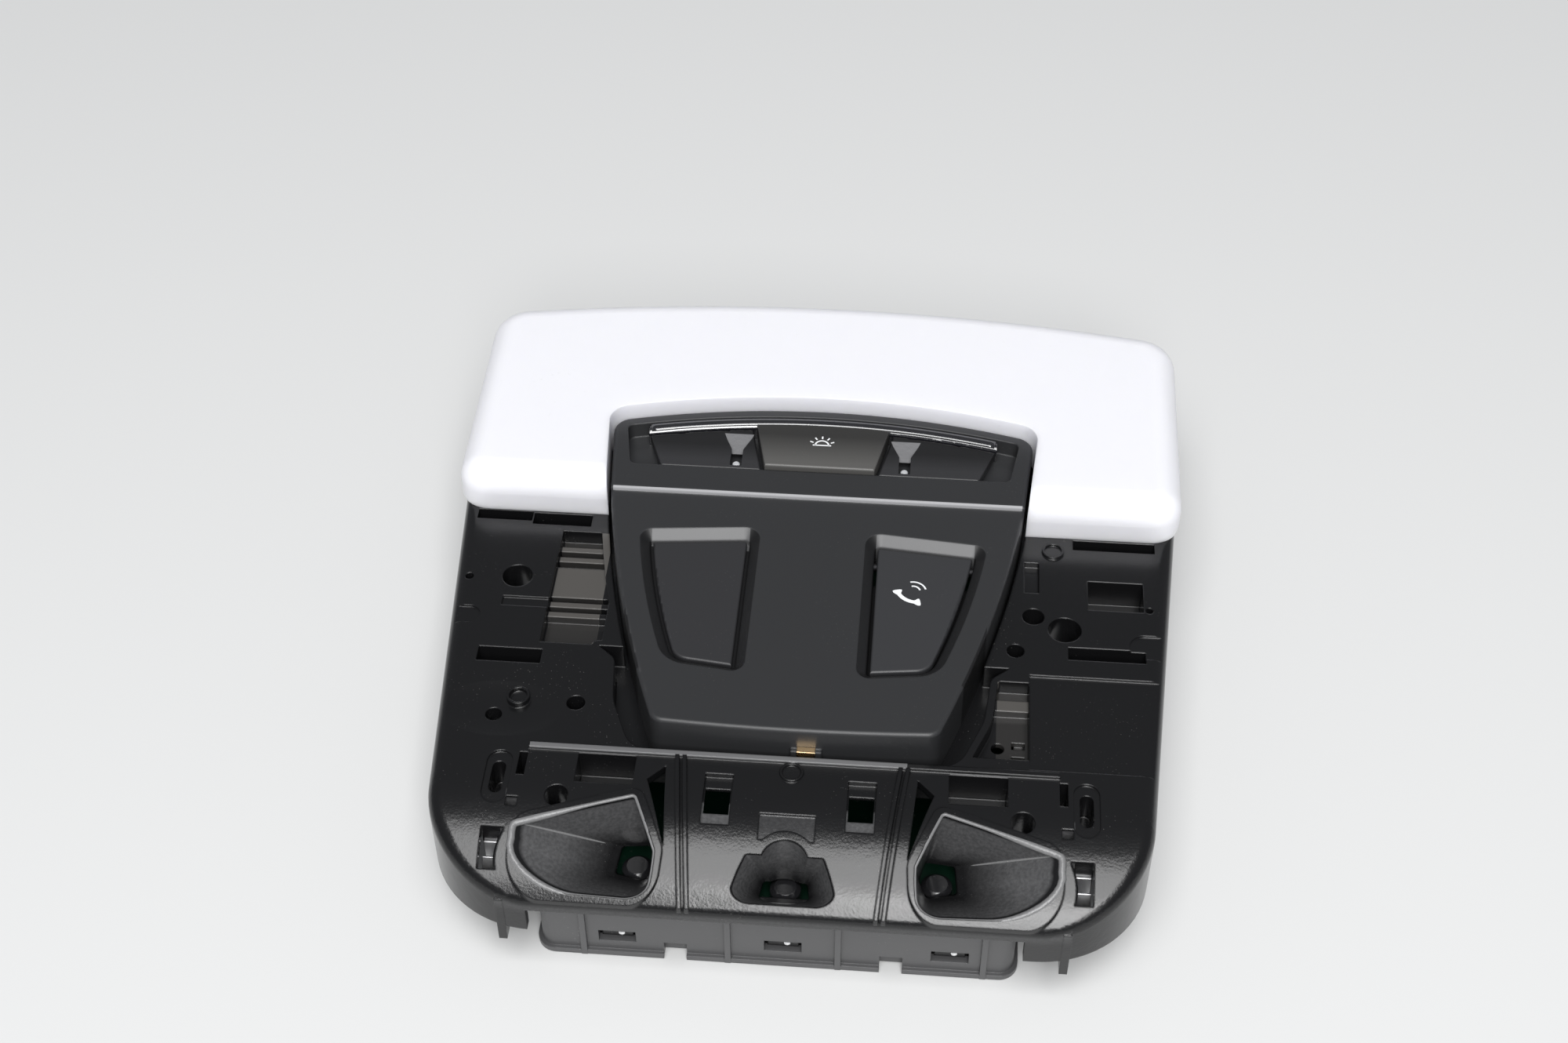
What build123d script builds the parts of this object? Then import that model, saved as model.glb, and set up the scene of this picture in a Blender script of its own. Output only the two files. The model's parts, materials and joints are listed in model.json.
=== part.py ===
"""Overhead car interior light, lying on its back with the side that faces the cabin upwards.

An opal dome lens wraps round a switch bezel. A black carrier plate with a curved nose holds three
light tunnels and clip windows, and a housing underneath holds the boards. The origin is on the
centre plane, on the resting face, below the line where lens and carrier meet.
"""

import os
from math import cos, radians, sin, sqrt

from build123d import *

os.makedirs("parts", exist_ok=True)

# Fits and clearances
lens_gap = 0.8
panel_gap = 0.7
key_gap = 0.4
trim_gap = 0.2
slide_gap = 0.3
pin_gap = 0.12
tray_gap = 0.5
cut_over = 1.0

# Carrier plate, wings and nose
plate_top = 30.0
plate_skin = 2.0
skirt_wall = 2.0
skirt_bottom = 12.0
wing_rear = 6.0
wing_rear_half = 76.7
wing_front_half = 67.5
wing_corner = 22.0
wing_edge_round = 3.0
nose_start = -73.0
nose_radius = 32.0
nose_angle = 46.0

# Dome lens
lens_near = -0.8
lens_near_half = 77.2
lens_half = 78.0
lens_shoulder = 57.0
lens_crown = 64.4
lens_far_corner = 8.5
lens_near_corner = 6.4
lens_height = 10.0
lens_round = 5.6
lens_wall = 2.0
lens_overhang = 1.0
lens_hook_places = (14.0, 44.0)
lens_hook_width = 9.0
lens_hook_drop = 4.5
lens_hook_wall = 1.4

# Lamp tub under the lens
tub_front = 0.3
tub_wall = 2.0
tub_floor = 2.0
tub_post = 1.0

# Bezel
bezel_crown = 28.5
bezel_shoulder = 22.2
bezel_shoulder_half = 46.0
bezel_crease = 0.7
bezel_crease_half = 44.0
bezel_waist = -32.0
bezel_waist_half = 37.4
bezel_foot = -62.6
bezel_foot_half = 27.6
bezel_foot_bow = 0.9
bezel_corner = 4.0
bezel_foot_corner = 3.0
bezel_row_top = 37.0
bezel_panel_top = 36.0
bezel_bottom = 24.0
bezel_skin = 2.0
bezel_wall = 2.0
bezel_edge_round = 0.8

# Well in the carrier that the bezel stands in
well_side = ((41.5, -38.8), (37.7, -42.0), (36.6, -53.0), (31.6, -65.3))
well_rounds = (3.0, 12.0, 6.0)
collar_wall = 1.5
seat_width = 2.8
seat_thickness = 2.0

# Switch row: the keys stand on arcs about the centre of the bezel's crown
recess_border = 2.4
recess_foot = 8.4
recess_foot_half = 40.8
recess_lean = 0.17
recess_floor_top = 33.2
recess_floor = 1.4
recess_corner = 1.5
trim_width = 2.8
trim_half = 38.0
trim_top = 36.9
trim_round = 1.2
key_foot = 9.0
key_under = 34.6
side_key_top = 36.4
side_key_outer_half = 34.2
side_key_outer_lean = 0.37
dome_key_half = 11.8
dome_key_lean = 0.21
dome_key_gap = 0.8
dome_key_top = 38.0
key_round = 0.5
key_stem = 4.0
key_stem_x = 26.0
key_stem_y = 14.5
notch_x = 18.2
notch_top = 20.4
notch_top_half = 3.5
notch_throat = 15.2
notch_throat_half = 1.25
notch_foot = 10.0
notch_depth = 1.5
pipe_radius = 0.8
pipe_y = 11.6
pipe_top = 35.6

# The two recessed panels, given for the right one
panel_inner = 13.7
panel_inner_top = -11.2
panel_outer = 33.3
panel_outer_top = -13.0
panel_belly = 29.7
panel_belly_y = -30.5
panel_foot_outer = 25.2
panel_foot_outer_y = -44.8
panel_foot = -46.2
panel_corner = 4.0
panel_small_corner = 0.6
panel_top = 34.6
panel_thickness = 1.6
panel_slope = 50.0
pocket_wall = 1.4
pocket_bottom = 28.6
window_ledge = 1.2
hinge_y = -15.2
hinge_drop = 1.7
hinge_pin_radius = 0.8
hinge_barrel_radius = 1.6
hinge_barrel_start = 15.5
hinge_barrel_end = 30.5

# Call button under the flap
call_x = 20.5
call_y = -31.0
call_width = 11.0
call_depth = 13.0
call_drop = 0.6
call_guide_top = 31.2
call_guide = 1.0
call_guide_back = -19.0
call_flange = 0.8
call_flange_thickness = 0.6

# Boards, switches and lamps
board_thickness = 1.6
bezel_board_top = 26.8
bezel_board_thickness = 1.2
boss_radius = 2.2
boss_screw_radius = 0.9
boss_row_x = 39.0
boss_row_y = 4.0
boss_foot_x = 26.0
boss_foot_y = -54.0
screw_head_radius = 1.8
screw_head = 1.1
screw_length = 6.0
switch_size = 6.0
switch_height = 1.6
plunger_radius = 1.4
plunger_engage = 0.4
plunger_top = 29.4
led_size = 3.2
led_height = 1.2
light_box_wall = 1.2
light_box_clear = 0.6
main_board_bottom = 10.0
main_board_front = -86.6
main_board_back = -2.8
dome_tongue_x = -21.0
dome_tongue_width = 22.0
dome_tongue_end = -9.0
link_x = 0.0
link_y = -20.0
link_width = 18.0
link_depth = 5.0
dome_link_width = 16.0
dome_link_y = -6.0
dome_led_places = ((-62.0, 14.0), (62.0, 14.0), (-62.0, 42.0), (62.0, 42.0), (-30.0, 46.0), (30.0, 46.0))
reflector_wall = 1.2
reflector_rim_drop = 0.6

# Light tunnels in the nose, given for the right one
tunnel_wall = 1.6
tunnel_foot = 16.0
tunnel_mouth = ((29.0, -76.8), (50.4, -83.4), (50.8, -94.4), (25.0, -94.4), (24.4, -87.0))
tunnel_mouth_rounds = (0.8, 3.0, 5.4, 4.5, 2.0)
tunnel_throat = ((26.5, -77.6), (32.0, -78.2), (32.6, -84.6), (26.8, -86.0), (25.4, -82.0))
tunnel_led_x = 28.8
tunnel_led_y = -81.8
centre_mouth = ((-7.4, -86.4), (7.4, -86.4), (10.4, -94.2), (-10.4, -94.2))
centre_mouth_rounds = (1.0, 1.0, 2.5, 2.5)
centre_throat = ((-4.2, -84.4), (4.2, -84.4), (4.6, -87.6), (-4.6, -87.6))
centre_bore_radius = 4.7
centre_bore_y = -88.2
centre_led_y = -84.6
throat_round = 0.8
tunnel_rim = 1.5
tunnel_rim_height = 0.7
optic_radius = 3.0
optic_height = 3.6
optic_dome = 0.9

# Plate pockets, as centre x, centre y, width and depth
pocket_floor = 23.2
pocket_skin = 1.2
wing_windows = (
    (-66.7, -2.4, 11.9, 2.8),
    (-54.2, -3.0, 12.6, 3.4),
    (63.2, -2.6, 17.2, 2.8),
    (-59.1, -42.6, 13.0, 3.8),
    (63.2, -17.2, 11.4, 8.2),
    (61.0, -33.8, 15.6, 3.4),
)
plate_holes = (
    (-61.1, -20.4, 3.15),
    (-71.1, -21.2, 0.9),
    (-59.7, -57.8, 1.65),
    (-43.8, -54.4, 1.85),
    (46.2, -24.1, 2.25),
    (52.6, -27.4, 3.4),
    (42.6, -33.9, 1.8),
    (70.0, -20.7, 0.8),
)
# Pockets of the front, given for the right side
front_window = (35.7, -70.6, 11.2, 7.0)
clip_window = (13.7, -75.8, 5.4, 11.2)
clip_window_throat = (4.8, 5.6)
clip_window_ledge = 1.2
corner_window = (55.4, -87.9, 4.4, 7.2)
hook_slit = (51.9, -70.4, 1.6, 5.6)
hook_square = (52.6, -79.2, 2.2, 2.0)
hook_x = 56.2
hook_y = -73.6
hook_length = 7.4
hook_width = 2.6
hook_border = 2.4
nose_hole_x = 44.2
nose_hole_y = -77.4
nose_hole_radius = 2.3
fin_places = ((24.2, -69.0), (27.4, -72.4), (22.9, -86.0))
fin_depth = 4.0

# Sunk clip beds beside the bezel, with their bars as centre y and depth
clip_strip = (-47.3, -22.5, 12.5, 32.2)
clip_strip_bars = ((-10.4, 1.4), (-13.4, 1.4), (-20.2, 8.6), (-26.6, 1.4), (-29.4, 1.4))
clip_pad = (39.7, -52.4, 11.3, 20.0)
clip_pad_bars = ((-47.4, 2.8), (-61.6, 1.2))
clip_pad_slots = ((43.4, -56.2), (43.4, -59.8))
clip_pad_slot = (2.6, 1.7)
clip_pad_hole = (39.4, -57.1)
clip_pad_hole_radius = 1.3
clip_floor = 26.6
clip_skin = 1.2
clip_bar_height = 1.8

# Shallow marks, as centre x, centre y, width and depth
dish_x = -58.6
dish_y = -56.8
dish_half = 12.4
dish_slimness = 0.58
dish_depth = 0.9
step_panel = (62.7, -52.4, 34.6, 24.4)
step_depth = 0.6
edge_notch = (45.9, -12.9, 3.0, 8.8)
edge_notch_depth = 1.5
groove_mark = (-58.3, -27.6, 9.6, 2.6)
nose_mark = (0.0, -81.2, 10.6, 5.1)
mark_depth = 0.5
thumb_marks = ((-72.0, -31.9, 10.0, 4.6), (71.6, -31.0, 12.0, 6.4))
rib_near_x = 18.3
rib_far_x = 21.5
rib_start = -66.8
rib_width = 0.8
rib_pitch = 1.4
rib_height = 1.0
ring_places = ((0.0, -69.0), (50.4, -5.0), (-55.4, -53.6))
ring_radius = 2.3
ring_width = 0.5
ring_height = 0.5
ledge_half = 51.2
ledge_y = -66.1
ledge_width = 1.2
ledge_height = 0.7
lip_thickness = 2.2
tab_x = 53.2
tab_y = -93.6
tab_width = 1.6
tab_depth = 4.0
tab_bottom = 8.0

# Housing under the plate
housing_left = -47.2
housing_right = 44.4
housing_front = -91.5
housing_back = 0.3
housing_wall = 1.8
housing_floor = 1.8
housing_top = 21.5
housing_front_top = 15.6
housing_back_top = 14.4
housing_corner = 3.0
housing_post_radius = 2.5
snap_places = (-32.0, 0.0, 32.0)
snap_width = 6.0
snap_arm = 1.4
snap_bottom = 4.2
snap_nub = 1.1
snap_shoulder = 2.0
snap_nub_height = 2.0
snap_window_margin = 0.6
housing_flange = 0.8
housing_flange_height = 1.2
foot_notch_x = 20.8
foot_notch_width = 4.4
foot_notch_height = 4.0
wall_rib_places = (-38.5, -10.6, 10.6, 38.5)
wall_rib_width = 1.2
wall_rib_depth = 0.9

# Connector under the left wing
socket_y = -45.0
socket_width = 24.0
socket_out = 6.0
socket_in = 8.0
socket_height = 7.8
socket_wall = 1.2
socket_depth = 9.5
pin_rows = 2
pin_columns = 6
pin_pitch = 3.0
pin_size = 0.64
pin_reach = 4.4

# Clips
roof_clip_strip = 0.5
roof_clip_width = 4.0
roof_clip_wall = 1.5
roof_clip_drop = 9.0
roof_clip_bow = 5.0
tab_clip_x = 2.4
tab_clip_width = 6.0
tab_clip_reach = 1.0
tab_clip_top = 31.0
tab_clip_thickness = 2.0
brass_width = 3.6
brass_strip = 0.4

# Sizes worked out from the ones above
crown_sag = bezel_crown - bezel_shoulder
crown_radius = (bezel_shoulder_half**2 + crown_sag**2) / (2 * crown_sag)
crown_centre = bezel_crown - crown_radius
trim_outer = crown_radius - recess_border - trim_gap
trim_inner = trim_outer - trim_width
key_arc = trim_inner - key_gap
nose_front = nose_start - nose_radius * sin(radians(nose_angle))
plate_under = plate_top - plate_skin
main_board_top = main_board_bottom + board_thickness
tub_floor_top = skirt_bottom + tub_floor
dome_board_bottom = tub_floor_top + tub_post
dome_board_top = dome_board_bottom + board_thickness
bezel_board_bottom = bezel_board_top - bezel_board_thickness
panel_under = panel_top - panel_thickness
hinge_z = panel_top - hinge_drop
call_top = panel_under - call_drop
half_span = lens_half + cut_over
lip_top = plate_top - nose_radius * (1 - cos(radians(nose_angle)))
tunnel_head = plate_top + tunnel_rim_height + cut_over
snap_face = housing_front + housing_wall + slide_gap


def nose_height(y):
    """Height of the carrier's top surface at depth y: flat, then an arc about the nose centre."""
    past = min(max(nose_start - y, 0.0), nose_radius * sin(radians(nose_angle)))
    return plate_top - nose_radius + sqrt(nose_radius**2 - past**2)


def grown(face, amount):
    """The face moved outwards by amount, or inwards where it is negative, redrawn in true arcs."""
    with BuildSketch(mode=Mode.PRIVATE) as moved:
        add(face)
        offset(amount=amount)
    with BuildSketch(mode=Mode.PRIVATE) as result:
        with BuildLine():
            for edge in moved.sketch.edges():
                if edge.geom_type == GeomType.LINE:
                    Line(edge @ 0, edge @ 1)
                else:
                    ThreePointArc(edge @ 0, edge @ 0.5, edge @ 1)
        make_face()
    return result.sketch


def under_nose(drop):
    """All that lies below the carrier's top surface when that surface is lowered by drop."""
    with BuildPart(mode=Mode.PRIVATE) as result:
        with BuildSketch(Plane.YZ):
            with BuildLine():
                flat = Line((lens_crown, plate_top - drop), (nose_start, plate_top - drop))
                nose = JernArc(flat @ 1, (-1, 0), nose_radius - drop, nose_angle)
                Polyline(nose @ 1, ((nose @ 1).X, 0), (lens_crown, 0), flat @ 0)
            make_face()
        extrude(amount=half_span, both=True)
    return result.part


def panel_face(side):
    """One recessed panel's outline; side is 1 on the right and -1 on the left."""
    with BuildSketch(mode=Mode.PRIVATE) as result:
        with BuildLine():
            inner = (side * panel_inner, panel_inner_top)
            outer = (side * panel_outer, panel_outer_top)
            belly = (side * panel_belly, panel_belly_y)
            heel = (side * panel_foot_outer, panel_foot_outer_y)
            toe = (side * panel_inner, panel_foot)
            Line(inner, outer)
            ThreePointArc(outer, belly, heel)
            Polyline(heel, toe, inner)
        make_face()
        corners = result.vertices().sort_by_distance((side * panel_foot_outer, panel_foot_outer_y))
        fillet(corners[0], radius=panel_corner)
        fillet(result.vertices().group_by(Axis.Y)[-1], radius=panel_small_corner)
    return result.sketch


def key_face(inner_half, inner_lean, outer_half, outer_lean, side):
    """One key's outline: two leaning sides, a straight foot, and a head on the keys' arc."""
    rise = bezel_crown - key_foot
    inner_top = inner_half + rise * inner_lean
    outer_top = outer_half + rise * outer_lean
    corners = [
        (side * inner_half, key_foot),
        (side * outer_half, key_foot),
        (side * outer_top, bezel_crown),
        (side * inner_top, bezel_crown),
    ]
    with BuildSketch(mode=Mode.PRIVATE) as result:
        with BuildLine():
            Polyline(*corners, close=True)
        make_face()
        with Locations((0, crown_centre)):
            Circle(key_arc, mode=Mode.INTERSECT)
    return result.sketch


def rounded_plan(points, rounds):
    """A plan face with straight edges and one corner radius for each point."""
    with BuildSketch(mode=Mode.PRIVATE) as result:
        with BuildLine():
            Polyline(*points, close=True)
        make_face()
        for point, radius in zip(points, rounds):
            fillet(result.vertices().sort_by_distance(point)[0], radius=radius)
    return result.sketch


def tunnel_solid(mouth, throat, side, wall, rounds=()):
    """A ruled funnel from the throat, at the tunnel's foot, through the mouth on the nose surface.

    The corner radii belong to the mouth; a funnel without them keeps its corners.
    """
    tops = []
    feet = []
    reaches = []
    for (mouth_x, mouth_y), (throat_x, throat_y) in zip(mouth, throat):
        reach = (tunnel_head - tunnel_foot) / (nose_height(mouth_y) - tunnel_foot)
        top_x = throat_x + reach * (mouth_x - throat_x)
        tops.append((side * top_x, throat_y + reach * (mouth_y - throat_y)))
        feet.append((side * throat_x, throat_y))
        reaches.append(reach)
    top_rounds = [throat_round + reach * (radius - throat_round) for reach, radius in zip(reaches, rounds)]
    with BuildPart(mode=Mode.PRIVATE) as result:
        with BuildSketch(Plane.XY.offset(tunnel_foot)):
            add(rounded_plan(feet, [throat_round] * len(rounds)))
            if wall > 0:
                offset(amount=wall, kind=Kind.INTERSECTION)
        with BuildSketch(Plane.XY.offset(tunnel_head)):
            add(rounded_plan(tops, top_rounds))
            if wall > 0:
                offset(amount=wall, kind=Kind.INTERSECTION)
        loft(ruled=True)
    return result.part


def centre_tunnel(wall, rounds=()):
    """The middle funnel together with the round bore behind it."""
    with BuildPart(mode=Mode.PRIVATE) as result:
        add(tunnel_solid(centre_mouth, centre_throat, 1, wall, rounds))
        with BuildSketch(Plane.XY.offset(tunnel_foot)):
            with Locations((0, centre_bore_y)):
                Circle(centre_bore_radius + wall)
        extrude(amount=tunnel_head - tunnel_foot)
    return result.part


def on_nose(face, height):
    """The plan face as a relief that stands height above the carrier's top surface."""
    with BuildPart(mode=Mode.PRIVATE) as result:
        with BuildSketch(Plane.XY.offset(lip_top)):
            add(face)
        extrude(amount=plate_top + height - lip_top)
        add(under_nose(-height), mode=Mode.INTERSECT)
        add(under_nose(plate_skin / 2), mode=Mode.SUBTRACT)
    return result.part


def sunk(face, depth):
    """The plan face as a hollow that reaches depth below the carrier's top surface."""
    with BuildPart(mode=Mode.PRIVATE) as result:
        with BuildSketch(Plane.XY.offset(lip_top)):
            add(face)
        extrude(amount=plate_top + cut_over - lip_top)
        add(under_nose(depth), mode=Mode.SUBTRACT)
    return result.part


def oblong(place):
    """A rectangular plan face from its centre x, centre y, width and depth."""
    with BuildSketch(mode=Mode.PRIVATE) as result:
        with Locations(place[:2]):
            Rectangle(*place[2:])
    return result.sketch


def plan_of(points, side):
    """A plan face with straight edges, mirrored where side is -1."""
    with BuildSketch(mode=Mode.PRIVATE) as result:
        with BuildLine():
            Polyline(*[(side * x, y) for x, y in points], close=True)
        make_face()
    return result.sketch


def clip_bars(place, bars):
    """The bars that cross a sunk clip bed."""
    with BuildPart(mode=Mode.PRIVATE) as result:
        with BuildSketch(Plane.XY.offset(clip_floor)):
            for centre_y, depth in bars:
                with Locations((place[0], centre_y)):
                    Rectangle(place[2], depth)
        extrude(amount=clip_bar_height)
    return result.part


def pocket_plan(extra):
    """The closed pockets of the plate in plan, each larger all round by extra."""
    with BuildSketch(mode=Mode.PRIVATE) as result:
        for centre_x, centre_y, width, depth in wing_windows:
            with Locations((centre_x, centre_y)):
                Rectangle(width + 2 * extra, depth + 2 * extra)
        for centre_x, centre_y, width, depth in (front_window, hook_slit, hook_square):
            with Locations((centre_x, centre_y), (-centre_x, centre_y)):
                Rectangle(width + 2 * extra, depth + 2 * extra)
        with Locations((hook_x, hook_y), (-hook_x, hook_y)):
            SlotOverall(hook_length + 2 * extra, hook_width + 2 * extra, rotation=90)
    return result.sketch


def hole_plan(extra):
    """The round holes of the plate in plan, each wider all round by extra."""
    with BuildSketch(mode=Mode.PRIVATE) as result:
        for centre_x, centre_y, radius in plate_holes:
            with Locations((centre_x, centre_y)):
                Circle(radius + extra)
        with Locations((nose_hole_x, nose_hole_y), (-nose_hole_x, nose_hole_y)):
            Circle(nose_hole_radius + extra)
    return result.sketch


# Plan outlines

with BuildSketch() as lens_plan:
    with BuildLine():
        near_edge = Line((-lens_near_half, lens_near), (lens_near_half, lens_near))
        right_edge = Line(near_edge @ 1, (lens_half, lens_shoulder))
        far_edge = ThreePointArc(right_edge @ 1, (0, lens_crown), (-lens_half, lens_shoulder))
        Line(far_edge @ 1, near_edge @ 0)
    make_face()
    fillet(lens_plan.vertices().group_by(Axis.Y)[-1], radius=lens_far_corner)
    fillet(lens_plan.vertices().group_by(Axis.Y)[0], radius=lens_near_corner)

with BuildSketch() as bezel_plan:
    with BuildLine():
        crown = ThreePointArc(
            (-bezel_shoulder_half, bezel_shoulder), (0, bezel_crown), (bezel_shoulder_half, bezel_shoulder)
        )
        right_row = Line(crown @ 1, (bezel_crease_half, bezel_crease))
        right_side = ThreePointArc(
            right_row @ 1, (bezel_waist_half, bezel_waist), (bezel_foot_half, bezel_foot)
        )
        foot = ThreePointArc(
            right_side @ 1, (0, bezel_foot - bezel_foot_bow), (-bezel_foot_half, bezel_foot)
        )
        left_side = ThreePointArc(
            foot @ 1, (-bezel_waist_half, bezel_waist), (-bezel_crease_half, bezel_crease)
        )
        Line(left_side @ 1, crown @ 0)
    make_face()
    fillet(bezel_plan.vertices().group_by(Axis.Y)[-1], radius=bezel_corner)
    fillet(bezel_plan.vertices().group_by(Axis.Y)[0], radius=bezel_foot_corner)

with BuildSketch() as well_plan:
    with BuildLine():
        left_side = [(-x, y) for x, y in reversed(well_side)]
        Polyline(*well_side, *left_side, close=True)
    make_face()
    for (corner_x, corner_y), radius in zip(well_side[1:], well_rounds):
        for side in (-1, 1):
            corner = well_plan.vertices().sort_by_distance((side * corner_x, corner_y))[0]
            fillet(corner, radius=radius)
    add(grown(bezel_plan.sketch, lens_gap))

with BuildSketch() as wing_plan:
    with BuildLine():
        Polyline(
            (-wing_front_half, nose_front),
            (wing_front_half, nose_front),
            (wing_rear_half, wing_rear),
            (-wing_rear_half, wing_rear),
            close=True,
        )
    make_face()
    fillet(wing_plan.vertices().group_by(Axis.Y)[0], radius=wing_corner)

with BuildSketch() as housing_plan:
    with Locations(((housing_left + housing_right) / 2, (housing_front + housing_back) / 2)):
        Rectangle(housing_right - housing_left, housing_back - housing_front)
    fillet(housing_plan.vertices(), radius=housing_corner)

with BuildSketch() as recess_plan:
    with BuildLine():
        recess_head_half = recess_foot_half + recess_lean * (bezel_crown - recess_foot)
        Polyline(
            (-recess_foot_half, recess_foot),
            (recess_foot_half, recess_foot),
            (recess_head_half, bezel_crown),
            (-recess_head_half, bezel_crown),
            close=True,
        )
    make_face()
    with Locations((0, crown_centre)):
        Circle(crown_radius - recess_border, mode=Mode.INTERSECT)
    fillet(recess_plan.vertices(), radius=recess_corner)

# Carrier: hollow shapes taken out of it

with BuildPart() as wing_hollow:
    with BuildSketch():
        add(grown(wing_plan.sketch, -skirt_wall))
        with Locations((0, tub_front + half_span)):
            Rectangle(2 * half_span, 2 * half_span, mode=Mode.SUBTRACT)
    extrude(amount=plate_top)
    add(under_nose(plate_skin), mode=Mode.INTERSECT)

with BuildSketch() as tub_plan:
    add(grown(lens_plan.sketch, -lens_overhang - tub_wall))
    with Locations((0, tub_front + tub_wall - half_span)):
        Rectangle(2 * half_span, 2 * half_span, mode=Mode.SUBTRACT)

# Carrier: marks in plan, the oval dish and the tunnels' walls

with BuildSketch() as mark_plan:
    add(oblong(groove_mark))
    add(oblong(nose_mark))
    for centre_x, centre_y, length, width in thumb_marks:
        with Locations((centre_x, centre_y)):
            SlotOverall(length, width)
    with Locations((hook_x, hook_y), (-hook_x, hook_y)):
        SlotOverall(hook_length + 2 * hook_border, hook_width + hook_border, rotation=90)

with BuildSketch() as ring_plan:
    with Locations(*ring_places):
        Circle(ring_radius)
        Circle(ring_radius - ring_width, mode=Mode.SUBTRACT)

dish_ball = (dish_half**2 + dish_depth**2) / (2 * dish_depth)
with BuildPart() as dish:
    Sphere(dish_ball)
    scale(by=(1, dish_slimness, 1))

with BuildPart() as tunnel_walls:
    for side in (-1, 1):
        add(tunnel_solid(tunnel_mouth, tunnel_throat, side, tunnel_wall))
    add(centre_tunnel(tunnel_wall))
    add(under_nose(0), mode=Mode.INTERSECT)

# Carrier

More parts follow.
